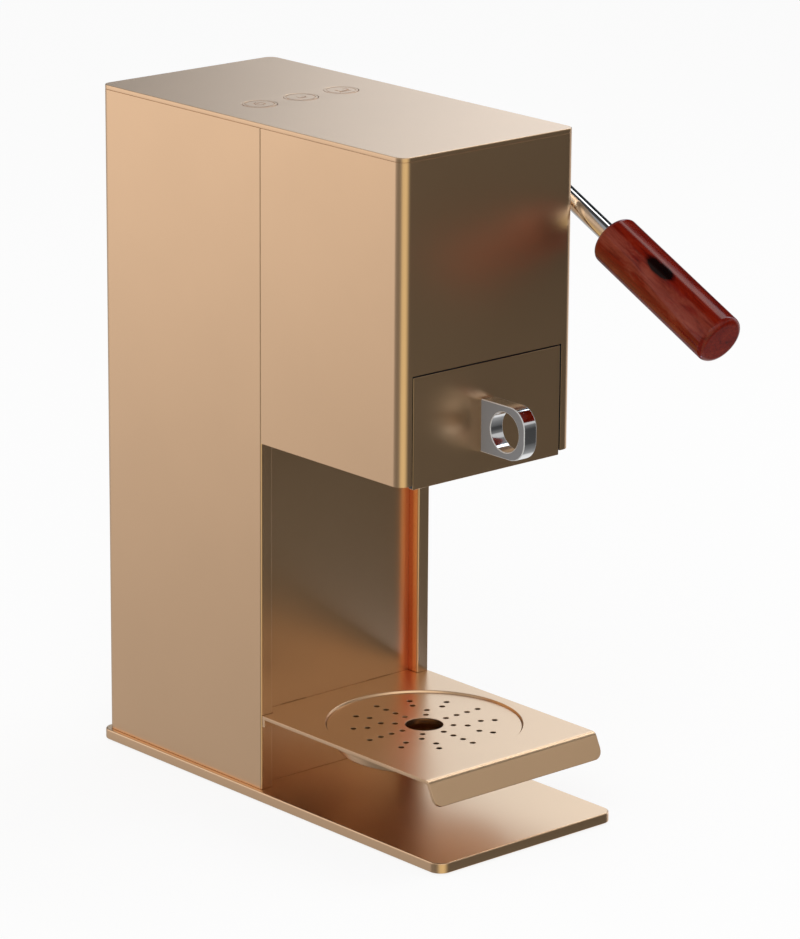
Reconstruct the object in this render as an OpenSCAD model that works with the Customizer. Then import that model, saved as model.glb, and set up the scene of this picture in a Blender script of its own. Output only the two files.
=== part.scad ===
// Slim capsule coffee maker: column, overhanging head, capsule drawer, side lever and drip tray.
// Sizes are in millimetres. X is the width, +Z is up and the front faces -Y.
// The origin is the middle of the underside, on the surface that the machine stands on.

/* [Body] */
// Width of the column and the head
body_w = 110; // [106:1:122]
// Depth of the column
column_d = 123; // [119:1:140]
// Depth of the head in front of the column
head_d = 101.8; // [98:0.2:112]
// Height of the whole machine
overall_h = 341.7; // [338:0.1:365]
// Free height from the base plate to the head
cup_room = 178; // [168:1:182]
// Radius of the upright corners
corner_r = 5.3; // [3:0.1:8]
// Radius of the column's front edges
edge_r = 0.8; // [0.4:0.1:1.2]
// Thickness of the casing sheet
wall = 1.6; // [1.2:0.1:2]
// Thickness of the top cover
top_t = 2.3; // [1.8:0.1:3]

/* [Base] */
// Thickness of the base plate
base_t = 5.2; // [4.2:0.1:7]
// Reach of the base plate beyond the column at the sides and rear
base_over = 2.5; // [1:0.1:6]
// Reach of the base plate in front of the head
base_reach = 32.7; // [28:0.1:45]
// Corner radius of the base plate
base_r = 6.5; // [4:0.1:10]
// Thickness of the non-slip pad
pad_t = 0.6; // [0.5:0.1:2]
// Inset of the non-slip pad from the base plate's edge
pad_inset = 5; // [3:0.5:12]
// Diameter of the base screws
base_screw_d = 4; // [3:0.1:5]
// Thickness of the base brackets
bracket_t = 3; // [2:0.1:4]
// Height of the base brackets
bracket_h = 14; // [10:0.5:20]

/* [Column front] */
// Width of the strips on both sides of the recess
strip_w = 7.3; // [6.6:0.1:9]
// Depth of the recess
recess_d = 7; // [5:0.1:9]
// Thickness of the recessed panel
panel_t = 1.6; // [1.2:0.1:2.4]

/* [Drip tray] */
// Inset of the tray from the body's sides
tray_inset = 0.3; // [0.1:0.1:2]
// Height of the tray's top above the base plate
tray_h = 38.6; // [34:0.1:46]
// Thickness of the tray's sheet
tray_t = 1.8; // [1.4:0.1:2.4]
// Reach of the tray in front of the head
tray_reach = 22; // [16:0.1:26]
// Height of the tray's front lip
lip_h = 12.4; // [8:0.1:16]
// How far the lip leans forward
lip_out = 5.1; // [1:0.1:6]
// Lower corner radius of the lip
lip_r = 5; // [3:0.1:7]
// Height of the flanges at the tray's rear corners
flange_h = 5.6; // [4:0.1:8]
// Width of the tray's tongues
tongue_w = 16; // [12:0.5:20]
// Distance of the tongues from the middle
tongue_x = 28; // [24:0.5:32]
// Length of the tongues behind the recessed panel
tongue_l = 16; // [12:0.5:20]
// Thickness of the walls round the tongues' pockets
pocket_wall = 3; // [2:0.1:4]

/* [Drain and bowl] */
// Radius of the drain plate
drain_r = 48; // [46:0.1:49]
// Thickness of the drain plate
drain_t = 2.8; // [2:0.1:3.2]
// Depth of the drain plate below the tray's top
drain_sink = 1; // [0.8:0.1:1.6]
// Radius of the drain plate's finger hole
drain_hole_r = 9.4; // [8:0.1:11]
// Diameter of the drain plate's small holes
drip_hole_d = 3; // [2:0.1:3.6]
// Width of the ledge that carries the drain plate
ledge_w = 5.1; // [4.5:0.1:7]
// Thickness of the ledge and its wall
ledge_t = 1.2; // [1:0.1:1.6]
// Depth of the drip bowl below the tray's top
bowl_depth = 11.6; // [10.5:0.1:16]
// Radius of the drip bowl's floor
bowl_floor_r = 43; // [38:0.1:45]
// Thickness of the drip bowl
bowl_t = 1.2; // [1:0.1:1.6]
// Width of the drip bowl's flange
bowl_flange = 4; // [3:0.1:4.4]

/* [Capsule drawer] */
// Distance of the drawer's front from the body's sides
drawer_margin = 7.8; // [7.6:0.1:9]
// Height of the drawer's front
drawer_h = 54.7; // [52:0.1:58]
// How far the drawer's front hangs below the head
drawer_drop = 2; // [0.5:0.1:4]
// Thickness of the drawer's front
drawer_t = 3; // [2.4:0.1:4]
// Gap round the drawer's front
drawer_gap = 0.5; // [0.4:0.1:1.2]
// Thickness of the drawer's walls
drawer_wall = 2; // [1.6:0.1:2.6]
// Height of the drawer's body
drawer_body_h = 35.2; // [34:0.1:37]
// Width of the drawer's runners
runner_w = 3.9; // [3:0.1:5]
// Thickness of the drawer's runners
runner_t = 2.5; // [2:0.1:3]
// Thickness of the fixed rails
rail_t = 4; // [3:0.1:5]
// Height of the rails above the head's underside
rail_h = 15.2; // [13:0.1:17]
// Travel of the drawer
drawer_travel = 75; // [60:1:78]

/* [Pull] */
// Thickness of the pull
pull_t = 8; // [6.5:0.1:10]
// Height of the pull
pull_h = 26.1; // [24:0.1:30]
// Reach of the pull in front of the drawer
pull_reach = 30; // [27:0.1:34]
// Corner radius of the pull's front end
pull_r = 10; // [7:0.1:11.8]
// Diameter of the pull's finger hole
pull_hole_d = 19.5; // [16:0.1:20]
// Distance of the finger hole's centre from the drawer's front
pull_hole_y = 16.2; // [14.8:0.1:18]
// Height of the pull's centre above the head's underside
pull_z = 21.9; // [19:0.1:25]
// Diameter of the pull's screws
pull_screw_d = 3; // [2.5:0.1:3.5]

/* [Brewing] */
// Distance of the brewing axis behind the head's front
brew_y = 42.9; // [41:0.1:46]
// Inner radius of the capsule cup at its rim
cup_r = 18.5; // [17:0.1:19.5]
// Inner radius of the capsule cup at its lower end
cup_floor_r = 15; // [12:0.1:16]
// Wall of the capsule cup
cup_wall = 3; // [2:0.1:3.4]
// Height of the funnel under the capsule cup
funnel_h = 8.5; // [7:0.1:9]
// Depth of the capsule cup
cup_depth = 25; // [20:0.1:26]
// Radius of the capsule cup's flange
cup_flange_r = 27; // [25:0.1:30]
// Thickness of the capsule cup's flange
cup_flange_t = 3; // [2:0.1:4]
// Radius of the outlet spout
spout_r = 7; // [6:0.1:8]
// Length of the outlet spout below the head
spout_drop = 11.8; // [6:0.1:14]
// Radius of the outlet spout's channel
spout_bore_r = 3.6; // [3:0.1:4]
// Gap between the capsule cup and the closed piston
piston_gap = 0.4; // [0.3:0.1:1]
// Radius of the piston
piston_r = 24; // [22:0.1:26]
// Height of the piston
piston_h = 19.6; // [19:0.1:23]
// Thickness of the piston's seal
seal_t = 2; // [1.5:0.1:2.5]
// Width of the piston's seal
seal_w = 3.5; // [2.5:0.1:4]
// Radius of the piston's stem
stem_r = 12; // [11:0.1:13]
// Thickness of the guide plate
guide_t = 8; // [6:0.1:10]
// Wall of the guide bush
bush_wall = 3; // [2:0.1:4]
// Radius of the feed tube
feed_r = 2.5; // [2:0.1:3]

/* [Lever] */
// Distance of the lever's shaft behind the head's front
pivot_y = 44.9; // [43:0.1:48]
// Depth of the lever's shaft below the machine's top
pivot_drop = 20.1; // [18.6:0.1:24]
// Slope of the lever below level
lever_angle = 26.1; // [20:0.1:30]
// Distance of the lever's rod from the body's side
lever_side = 7; // [6.6:0.1:10]
// Diameter of the lever's rod
rod_d = 9.2; // [7:0.1:9.6]
// Length of the rod from the shaft to the handle
rod_l = 71.2; // [62:0.1:80]
// Diameter of the handle
handle_d = 25.2; // [22:0.1:28]
// Length of the handle
handle_l = 82.3; // [75:0.1:100]
// Edge radius of the handle
handle_r = 3; // [1:0.1:6]
// Depth of the rod inside the handle
tang_l = 40; // [25:1:60]
// Diameter of the lever's shaft
shaft_d = 10; // [8:0.1:11]
// Radius of the lever's hub
hub_r = 13; // [11:0.1:14]
// Thickness of the lever's hub
hub_t = 11.2; // [10.4:0.1:12]
// Angle by which the lever lifts
lever_lift = 70; // [40:1:75]
// Module of the gear and the rack
gear_m = 1; // [0.9:0.05:1.05]
// Number of teeth of the gear
gear_teeth = 16; // [15:1:17]
// Width of the gear
gear_w = 12; // [8:0.5:16]

/* [Buttons] */
// Diameter of the buttons
button_d = 17; // [14:0.1:20]
// Spacing of the buttons
button_pitch = 26; // [24:0.1:30]
// Distance of the buttons behind the column's front
button_y = 35.4; // [30:0.1:40]
// Travel of the buttons
button_travel = 1.2; // [0.6:0.1:1.6]

/* [Water tank] */
// Depth of the tank's body
tank_d = 51.5; // [40:0.5:51.5]
// Height of the tank's body
tank_h = 168; // [120:1:180]
// Wall of the tank
tank_wall = 2; // [1.6:0.1:3]
// Depth of the tank's rear cover below the top cover
tank_drop = 30.4; // [24:0.1:36]
// Thickness of the tank's rear cover
door_t = 3; // [2:0.1:4]
// Height of the finger pocket in the tank's rear cover
pocket_h = 16; // [14:0.5:22]
// Width of the finger pocket
pocket_w = 48; // [40:1:70]
// Depth of the finger pocket
pocket_d = 17; // [14:0.5:24]
// Radius of the tank's outlet
valve_r = 5; // [4:0.1:6]

/* [Inner pieces] */
// Radius of the boiler
boiler_r = 26; // [22:0.5:26.5]
// Height of the boiler
boiler_h = 80; // [60:1:90]
// Height of the boiler's shelf above the base plate
boiler_lift = 54; // [48:1:60]
// Radius of the pump
pump_r = 17; // [14:0.5:18]
// Length of the hose between the pump and its bend
hose_run = 4; // [3.8:0.1:6]
// Radius of the hoses
hose_r = 3.5; // [3:0.1:4]
// Thickness of the shelves and inner brackets
shelf_t = 2; // [1.6:0.1:2.4]
// Thickness of the circuit board
board_t = 1.6; // [1.2:0.1:2]

/* [Fits] */
// Radial clearance of a turning or sliding shaft
run_gap = 0.05; // [0.02:0.01:0.1]
// Radial clearance of a fixed fit
fit_gap = 0.05; // [0.02:0.01:0.1]
// Clearance between sliding faces
slide_gap = 0.3; // [0.3:0.05:0.5]

/* [Hidden] */
$fn = 64;
eps = 0.01;

// Main planes
base_l = base_reach + head_d + column_d + base_over;
base_w = body_w + 2 * base_over;
base_top = pad_t + base_t;
head_y = -base_l / 2 + base_reach;
col_y = head_y + head_d;
rear_y = col_y + column_d;
half_w = body_w / 2;
in_w = half_w - wall;
head_z = base_top + cup_room;
shell_top = overall_h - top_t;
panel_y = col_y + recess_d;
panel_back = panel_y + panel_t;
recess_w = half_w - strip_w;
brew = head_y + brew_y;

// Tray
tray_top = base_top + tray_h;
tray_w = half_w - tray_inset;
tray_front = head_y - tray_reach;
corner_gap = 1.3;
tray_mid_w = recess_w - 1.2;
tray_mid_y = panel_y - slide_gap;
seat_z = tray_top - drain_sink - drain_t;
recess_r = drain_r + 0.5;
ring_r = recess_r + ledge_t;
bowl_r = recess_r - ledge_w - 0.5;
bowl_top = seat_z - ledge_t;
bowl_rim_r = recess_r;
bowl_flange_t = 1;
pocket_gap = slide_gap;

// Drawer
front_w = half_w - drawer_margin;
front_z0 = head_z - drawer_drop;
front_z1 = front_z0 + drawer_h;
front_back = head_y + drawer_t;
runner_x = front_w + 0.2;
box_w = runner_x - runner_w;
deck_z = head_z + drawer_body_h;
deck_t = drawer_wall + 1;
drawer_rear = col_y - 2.5;
rail_x = box_w + 0.5;
rail_z0 = head_z + rail_h;
rail_z1 = rail_z0 + rail_t;
cup_top = deck_z + cup_flange_t;
cup_out_r = cup_r + cup_wall;
cup_base = cup_top - cup_depth;
spout_z0 = head_z - spout_drop;
funnel_z0 = cup_base - funnel_h;
pull_c = head_z + pull_z;

// Brewing group
piston_z0 = cup_top + piston_gap;
piston_z1 = piston_z0 + seal_t;
piston_top = piston_z1 + piston_h;
pitch_r = gear_m * gear_teeth / 2;
lift = lever_lift * PI / 180 * pitch_r;
pivot = head_y + pivot_y;
pivot_z = overall_h - pivot_drop;
rack_pitch_y = pivot - pitch_r;
gear_tip = pitch_r + gear_m;
gear_root = pitch_r - 1.15 * gear_m;
rack_add = 0.8 * gear_m;
rack_ded = 1.3 * gear_m;
backlash = 0.1;
rack_bar = 4.2;
rack_w = gear_w - 2;
foot_t = 4;
stem_top = pivot_z - gear_tip - lift - foot_t - 13;
rack_top = pivot_z + 4.8;
teeth_z0 = pivot_z - lift - 4.8;
guide_z0 = piston_top + lift + 4.2;
guide_z1 = guide_z0 + guide_t;
bush_r = stem_r + run_gap + bush_wall;
bush_flange_t = 2;
guide_half = 30;
guide_y0 = brew - guide_half;
guide_y1 = brew + guide_half;
guide_flange = 12;
cheek_t = 4;
bush_flange_w = 2;
cheek_x = max(gear_w / 2 + 8, bush_r + bush_flange_w + 1);
cheek_half = 20;
cheek_rise = 12;
cheek_y0 = pivot - cheek_half;
cheek_y1 = pivot + cheek_half;
cheek_top = pivot_z + cheek_rise;
feed_y = max(brew + bush_r + feed_r + 1, pivot + gear_tip + feed_r + 1);
feed_low = piston_z1 + 2.4 + lift;
feed_rise = 12;
feed_top = guide_z1 + feed_rise;

// Lever
rod_x = half_w + lever_side;
hub_x0 = rod_x - hub_t / 2;
hub_x1 = rod_x + hub_t / 2;
shaft_r = shaft_d / 2;
bearing_t = 2;
bearing_r = shaft_r + run_gap + bearing_t;
collar_t = 1;
collar_r = bearing_r + 2;
clip_t = 1.2;
clip_x = -cheek_x - cheek_t - collar_t - 0.3;
rod_start = shaft_r + 3;
handle_end = rod_l + handle_l;

// Buttons and board
button_cy = col_y + button_y;
button_gap = slide_gap;
button_flange = 1.8;
button_flange_t = 2;
button_stem_l = 6.4;
stem_end = shell_top - button_flange_t - button_stem_l;
switch_h = 3.5;
board_top = stem_end - button_travel - 0.1 - switch_h;
board_z0 = board_top - board_t;
post_h = 7;
board_w = button_pitch + 18;
board_d = 28;
tray2_z1 = board_z0 - post_h;

// Water tank and inner pieces
cover_gap = 3;
cover_over = cover_gap + pocket_h + 2 * tank_wall;
floor_z = shell_top - tank_drop - cover_over - tank_h;
tank_w = in_w - 6.9;
door_y0 = rear_y - door_t;
tank_y1 = door_y0;
tank_y0 = tank_y1 - tank_d;
tank_top = floor_z + tank_h;
bay_gap = 0.6;
door_w = tank_w + 1;
door_top = tank_top + cover_over;
dock_x = tank_w - 9.5;
dock_w = 16;
dock_y1 = tank_y0 - 0.5;
dock_y0 = dock_y1 - 15;
valve_z = floor_z + 8;
valve_l = 9;
boiler_y = panel_back + shelf_t + boiler_r + 3;
boiler_z = base_top + boiler_lift;
band_t = 2;
band_z = 24;
band_out = 1.2;
port_l = 6;
port_z = 13;
pump_y = dock_y0 + 7;
pump_lift = 9;
pump_z = base_top + pump_r + pump_lift;
nozzle_l = 8;
hose_x = -(in_w - hose_r - 1.9);
pump_x0 = hose_x + hose_run + nozzle_l;
pump_x1 = dock_x - hose_run - hose_r - nozzle_l;
inlet_w = 14;
inlet_h = 10;
inlet_z = base_top + 34;
inlet_l = 17;
inlet_flange = 3;
pin_w = 2;
pin_l = 10;
saddle_w = 10;
bolt_r = 1.5;
bolt_head_r = 1.8;
bolt_x = in_w - 0.4 - bolt_head_r;

// Helper shapes

// Rectangle from corner to corner with its own front and rear corner radii
module plan(x, y0, y1, rf, rr) {
    translate([-x, y0 + rf]) square([2 * x, y1 - y0 - rf - rr]);
    translate([-x + rf, y0]) square([2 * (x - rf), rf + eps]);
    translate([-x + rr, y1 - rr - eps]) square([2 * (x - rr), rr + eps]);
    for (s = [-1, 1]) {
        translate([s * (x - rf), y0 + rf]) circle(r = rf);
        translate([s * (x - rr), y1 - rr]) circle(r = rr);
    }
}

// Block between two corners
module block(a, b) {
    translate(a) cube([b[0] - a[0], b[1] - a[1], b[2] - a[2]]);
}

// Cylinder along X
module rod_along_x(x0, x1, y, z, r) {
    translate([x0, y, z]) rotate([0, 90, 0]) cylinder(h = x1 - x0, r = r);
}

// Cylinder along Y
module rod_along_y(y0, y1, x, z, r) {
    translate([x, y0, z]) rotate([-90, 0, 0]) cylinder(h = y1 - y0, r = r);
}

// Cylinder along Z
module post(x, y, z0, z1, r) {
    translate([x, y, z0]) cylinder(h = z1 - z0, r = r);
}

// Outline in the YZ plane, carried along X
module along_x(x0, x1) {
    translate([x0, 0, 0]) rotate([90, 0, 90]) linear_extrude(height = x1 - x0) children();
}

// Outline in the XZ plane, carried along Y
module along_y(y0, y1) {
    translate([0, y1, 0]) rotate([90, 0, 0]) linear_extrude(height = y1 - y0) children();
}

// Places its children on the lever's line, with the lever's length along +Z
module on_lever() {
    translate([rod_x, pivot, pivot_z]) rotate([90 + lever_angle, 0, 0]) children();
}

// Gear outline, with one tooth on the -Y side
function involute(a) = tan(a) * 180 / PI - a;
function half_tooth(r, rb, rp, n) = 90 / n - backlash / rp * 90 / PI + involute(acos(rb / rp))
    - (r > rb ? involute(acos(rb / r)) : 0);
function tooth_r(k, r0, r1) = r0 + (r1 - r0) * k / 8;
function gear_points(rp, r0, r1, n) = let(rb = rp * cos(20)) [
    for (i = [0 : n - 1])
        for (k = [0 : 17])
            let(j = k < 9 ? k : 17 - k, r = tooth_r(j, r0, r1), h = half_tooth(r, rb, rp, n))
            let(a = 360 * i / n + (k < 9 ? -h : h))
            [r * cos(a), r * sin(a)]];

// Rack outline, with its teeth on the +Y side
function rack_half(h) = PI * gear_m / 4 - backlash / 2 - h * tan(20);
rack_first = ceil((teeth_z0 - pivot_z) / (PI * gear_m));
rack_last = floor((rack_top - 1.6 * gear_m - pivot_z) / (PI * gear_m));
function rack_teeth() = [
    for (k = [rack_first : rack_last])
        for (c = [[-1, -rack_ded], [-1, rack_add], [1, rack_add], [1, -rack_ded]])
            [rack_pitch_y + c[1], pivot_z + (k + 0.5) * PI * gear_m + c[0] * rack_half(c[1])]];

// Base

module base_pad() {
    color("#2b2a29") linear_extrude(height = pad_t)
        plan(base_w / 2 - pad_inset, -base_l / 2 + pad_inset, base_l / 2 - pad_inset, base_r, base_r);
}

bracket_x0 = in_w - 10.4;
bracket_y0 = panel_back + 20;
bracket_y1 = rear_y - wall - 12;
screw_x = bracket_x0 + 4.4;
screw_ys = [bracket_y0 + 10, bracket_y1 - 10];
screw_r = base_screw_d / 2;
screw_head_h = 2.2;

module screw_shape(grow) {
    post(0, 0, pad_t, base_top + bracket_t, screw_r + grow);
    translate([0, 0, pad_t]) cylinder(h = screw_head_h, r1 = screw_r * 2 + grow, r2 = screw_r + grow);
}

module screw_places() {
    for (s = [-1, 1], y = screw_ys) translate([s * screw_x, y, 0]) children();
}

module base_plate() {
    color("#d8b48c") difference() {
        translate([0, 0, pad_t]) linear_extrude(height = base_t)
            plan(base_w / 2, -base_l / 2, base_l / 2, base_r, base_r);
        screw_places() translate([0, 0, 0]) screw_shape(fit_gap);
    }
}

module base_brackets() {
    color("#9a9c9e") difference() {
        for (s = [0, 1]) mirror([s, 0, 0]) {
            block([bracket_x0, bracket_y0, base_top], [in_w, bracket_y1, base_top + bracket_t]);
            block([in_w - bracket_t, bracket_y0, base_top], [in_w, bracket_y1, base_top + bracket_h]);
        }
        screw_places() post(0, 0, 0, base_top + bracket_t + 1, screw_r + fit_gap);
    }
}

module base_screws() {
    color("#6e7072") screw_places() screw_shape(0);
}

// Column

module column_outline() {
    difference() {
        plan(half_w, col_y, rear_y, edge_r, corner_r);
        difference() {
            plan(in_w, col_y + wall, rear_y - wall, edge_r / 2, corner_r - wall);
            for (s = [0, 1]) mirror([s, 0]) translate([recess_w, col_y])
                square([wall, recess_d + panel_t]);
        }
        translate([-recess_w, col_y - 1]) square([2 * recess_w, wall + 2]);
    }
}

vent_n = 5;
vent_w = 60;
vent_slot = 3;
vent_step = 7;
vent_gap = 8;
vent_z = inlet_z + inlet_h + inlet_flange + 10;
vent_pitch = min(vent_step, (floor_z - bay_gap - vent_gap - vent_z) / vent_n);
vent_h = min(vent_slot, 0.43 * vent_pitch);
module column_shell() {
    color("#d9b48a") difference() {
        translate([0, 0, base_top]) linear_extrude(height = shell_top - base_top) column_outline();
        // Bay that the water tank slides out of
        block([-door_w - bay_gap, rear_y - wall - 1, floor_z - bay_gap],
            [door_w + bay_gap, rear_y + 1, door_top + bay_gap]);
        // Power inlet
        block([-inlet_w - fit_gap, rear_y - wall - 1, inlet_z - inlet_h - fit_gap],
            [inlet_w + fit_gap, rear_y + 1, inlet_z + inlet_h + fit_gap]);
        // Vents
        for (i = [0 : vent_n - 1]) translate([0, 0, vent_z + i * vent_pitch])
            block([-vent_w / 2, rear_y - wall - 1, 0], [vent_w / 2, rear_y + 1, vent_h]);
        // Holes of the head's bolts
        bolt_places() rod_along_y(col_y - 1, col_y + wall + 1, 0, 0, bolt_r + fit_gap);
    }
}

panel_top = head_z + 12;
module column_front_panel() {
    color("#c39a6c") difference() {
        block([-recess_w, panel_y, base_top], [recess_w, panel_back, panel_top]);
        for (s = [-1, 1]) block(
            [s * tongue_x - tongue_w / 2 - pocket_gap, panel_y - 1, tray_top - tray_t - pocket_gap],
            [s * tongue_x + tongue_w / 2 + pocket_gap, panel_back + 1, tray_top + pocket_gap]);
    }
}

module closing_strip() {
    color("#8a7a66") block([-recess_w + 0.1, drawer_rear + 0.5, head_z], [recess_w - 0.1, panel_y, head_z + wall]);
}

// Head

opening_w = front_w + drawer_gap;
module head_outline() {
    difference() {
        plan(half_w, head_y, col_y, corner_r, eps);
        plan(in_w, head_y + wall, col_y + 1, corner_r - wall, eps);
    }
}

module head_shell() {
    color("#d9b48a") difference() {
        union() {
            translate([0, 0, head_z]) linear_extrude(height = shell_top - head_z) head_outline();
            // Lower flanges beside the drawer
            translate([0, 0, head_z]) linear_extrude(height = wall) difference() {
                plan(half_w - wall / 2, head_y + wall / 2, col_y, corner_r - wall / 2, eps);
                translate([-opening_w, head_y - 1]) square([2 * opening_w, head_d + 2]);
            }
            // Rear flanges against the column's strips
            for (s = [0, 1]) mirror([s, 0, 0])
                block([recess_w + 0.7, col_y - wall, head_z], [half_w - wall / 2, col_y, shell_top]);
        }
        block([-opening_w, head_y - 1, head_z - 1], [opening_w, head_y + wall + 1, front_z1 + drawer_gap]);
        rod_along_x(in_w - 1, half_w + 1, pivot, pivot_z, bearing_r + fit_gap);
        bolt_places() rod_along_y(col_y - wall - 1, col_y + 1, 0, 0, bolt_r + fit_gap);
    }
}

bolt_zs = [head_z + 34, shell_top - 16];
module bolt_places() {
    for (s = [-1, 1], z = bolt_zs) translate([s * bolt_x, 0, z]) children();
}

module head_bolts() {
    color("#6e7072") bolt_places() {
        rod_along_y(col_y - wall, col_y + wall, 0, 0, bolt_r);
        rod_along_y(col_y - wall - 2, col_y - wall, 0, 0, bolt_head_r);
        rod_along_y(col_y + wall, col_y + wall + 2, 0, 0, bolt_head_r);
    }
}

module top_cover() {
    bar_x = in_w - slide_gap;
    color("#d9c3a6") difference() {
        union() {
            translate([0, 0, shell_top]) linear_extrude(height = top_t)
                plan(half_w, head_y, rear_y, corner_r, corner_r);
            for (s = [0, 1]) mirror([s, 0, 0]) {
                block([bar_x - 1.5, head_y + 14, shell_top - 2], [bar_x, col_y - 8, shell_top + eps]);
                block([bar_x - 1.5, panel_back + 8, shell_top - 2], [bar_x, rear_y - 14, shell_top + eps]);
            }
        }
        for (i = [-1 : 1]) post(i * button_pitch, button_cy, shell_top - 3, overall_h + 1, button_d / 2 + button_gap);
    }
}

// Brewing group held by the head

module brew_frame() {
    color("#a7a9ab") difference() {
        union() {
            block([-in_w, guide_y0, guide_z0], [in_w, guide_y1, guide_z1]);
            for (s = [0, 1]) mirror([s, 0, 0]) {
                block([cheek_x, cheek_y0, guide_z1 - eps], [cheek_x + cheek_t, cheek_y1, cheek_top]);
                block([in_w - shelf_t, guide_y0, guide_z1 - eps], [in_w, guide_y1, guide_z1 + guide_flange]);
            }
        }
        post(0, brew, guide_z0 - 1, guide_z1 + 1, bush_r + fit_gap);
        post(0, feed_y, guide_z0 - 1, guide_z1 + 1, feed_r + fit_gap);
        rod_along_x(-in_w, in_w - shelf_t - 1, pivot, pivot_z, bearing_r + fit_gap);
    }
}

module guide_bush() {
    color("#b58a3c") difference() {
        union() {
            post(0, brew, guide_z0, guide_z1 + bush_flange_t, bush_r);
            post(0, brew, guide_z1, guide_z1 + bush_flange_t, bush_r + bush_flange_w);
        }
        post(0, brew, guide_z0 - 1, guide_z1 + bush_flange_t + 1, stem_r + run_gap);
        // Room for the feed tube beside the flange
        post(0, feed_y, guide_z1, guide_z1 + bush_flange_t + 1, feed_r + slide_gap);
    }
}

// Bush with its collar on the side away from the middle
module bush_along_x(x0, len) {
    difference() {
        union() {
            rod_along_x(x0, x0 + len + collar_t, pivot, pivot_z, bearing_r);
            rod_along_x(x0 + len, x0 + len + collar_t, pivot, pivot_z, collar_r);
        }
        rod_along_x(x0 - 1, x0 + len + collar_t + 1, pivot, pivot_z, shaft_r + run_gap);
    }
}

module shaft_bushes() {
    color("#b58a3c") for (s = [0, 1]) mirror([s, 0, 0]) bush_along_x(cheek_x, cheek_t);
}

module wall_bush() {
    color("#b58a3c") bush_along_x(in_w, wall);
}

module drawer_rails() {
    color("#9a9c9e") for (s = [0, 1]) mirror([s, 0, 0])
        block([rail_x, head_y + wall + 3.6, rail_z0], [in_w, col_y - wall, rail_z1]);
}

module feed_tube() {
    color("#b9bbbd") {
        post(0, feed_y, feed_low, feed_top, feed_r);
        translate([0, feed_y, feed_top]) sphere(r = feed_r);
        rod_along_y(feed_y, boiler_y, 0, feed_top, feed_r);
        translate([0, boiler_y, feed_top]) sphere(r = feed_r);
        post(0, boiler_y, boiler_z + boiler_h + port_l, feed_top, feed_r);
    }
}

// Water heating and pumping

module boiler() {
    color("#8f9193") difference() {
        union() {
            post(0, boiler_y, boiler_z, boiler_z + boiler_h, boiler_r);
            for (z = [band_z, boiler_h - band_z - band_t])
                post(0, boiler_y, boiler_z + z, boiler_z + z + band_t, boiler_r + band_out);
            post(0, boiler_y, boiler_z + boiler_h, boiler_z + boiler_h + port_l, feed_r + 2);
            rod_along_x(-boiler_r - port_l, 0, boiler_y, boiler_z + port_z, hose_r);
        }
    }
}

module boiler_bracket() {
    color("#a7a9ab") {
        block([-boiler_r - 2, panel_back, boiler_z - shelf_t], [boiler_r + 2, panel_back + shelf_t, panel_top - 4]);
        block([-boiler_r - 2, panel_back, boiler_z - shelf_t], [boiler_r + 2, boiler_y + boiler_r + 1, boiler_z]);
    }
}

module pump() {
    color("#55585c") {
        rod_along_x(pump_x0, pump_x1, pump_y, pump_z, pump_r);
        rod_along_x(pump_x0 - nozzle_l, pump_x0 + 1, pump_y, pump_z, hose_r);
        rod_along_x(pump_x1 - 1, pump_x1 + nozzle_l, pump_y, pump_z, hose_r);
    }
}

module pump_mounts() {
    color("#2f2e2d") difference() {
        for (x = [pump_x0 + 4, pump_x1 - 4 - saddle_w])
            block([x, pump_y - pump_r + 1, base_top], [x + saddle_w, pump_y + pump_r - 1, pump_z - 4]);
        rod_along_x(pump_x0 - 1, pump_x1 + 1, pump_y, pump_z, pump_r + fit_gap);
    }
}

module suction_hose() {
    color("#d5d2cb") {
        post(dock_x, pump_y, pump_z, floor_z, hose_r);
        translate([dock_x, pump_y, pump_z]) sphere(r = hose_r);
        rod_along_x(pump_x1 + nozzle_l, dock_x, pump_y, pump_z, hose_r);
    }
}

module pressure_hose() {
    z2 = boiler_z + port_z;
    color("#d5d2cb") {
        rod_along_x(hose_x, pump_x0 - nozzle_l, pump_y, pump_z, hose_r);
        translate([hose_x, pump_y, pump_z]) sphere(r = hose_r);
        post(hose_x, pump_y, pump_z, z2, hose_r);
        translate([hose_x, pump_y, z2]) sphere(r = hose_r);
        rod_along_y(boiler_y, pump_y, hose_x, z2, hose_r);
        translate([hose_x, boiler_y, z2]) sphere(r = hose_r);
        rod_along_x(hose_x, -boiler_r - port_l, boiler_y, z2, hose_r);
    }
}

module tank_shelf() {
    color("#a7a9ab") difference() {
        union() {
            block([-in_w, tank_y0 - 1, floor_z - shelf_t], [in_w, rear_y - wall - corner_r, floor_z]);
            block([dock_x - dock_w / 2 - 1, dock_y0 - 1, floor_z - shelf_t], [in_w, tank_y0, floor_z]);
        }
        post(dock_x, pump_y, floor_z - shelf_t - 1, floor_z + 1, hose_r + fit_gap);
    }
}

module tank_dock() {
    color("#3a3a3b") difference() {
        block([dock_x - dock_w / 2, dock_y0, floor_z], [dock_x + dock_w / 2, dock_y1, floor_z + 16]);
        rod_along_y(dock_y1 - valve_l - 1, dock_y1 + 1, dock_x, valve_z, valve_r + run_gap);
        post(dock_x, pump_y, floor_z + 3, valve_z, 2);
    }
}

module tray_bracket() {
    z0 = tray_top - tray_t - pocket_gap - pocket_wall;
    z1 = tray_top + pocket_gap + pocket_wall;
    w = tongue_x + tongue_w / 2 + pocket_gap + pocket_wall;
    color("#8f9193") difference() {
        block([-w, panel_back, z0], [w, panel_back + tongue_l + pocket_gap + pocket_wall, z1]);
        for (s = [-1, 1]) block(
            [s * tongue_x - tongue_w / 2 - pocket_gap, panel_back - 1, tray_top - tray_t - pocket_gap],
            [s * tongue_x + tongue_w / 2 + pocket_gap, panel_back + tongue_l + pocket_gap, tray_top + pocket_gap]);
    }
}

// Controls

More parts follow.
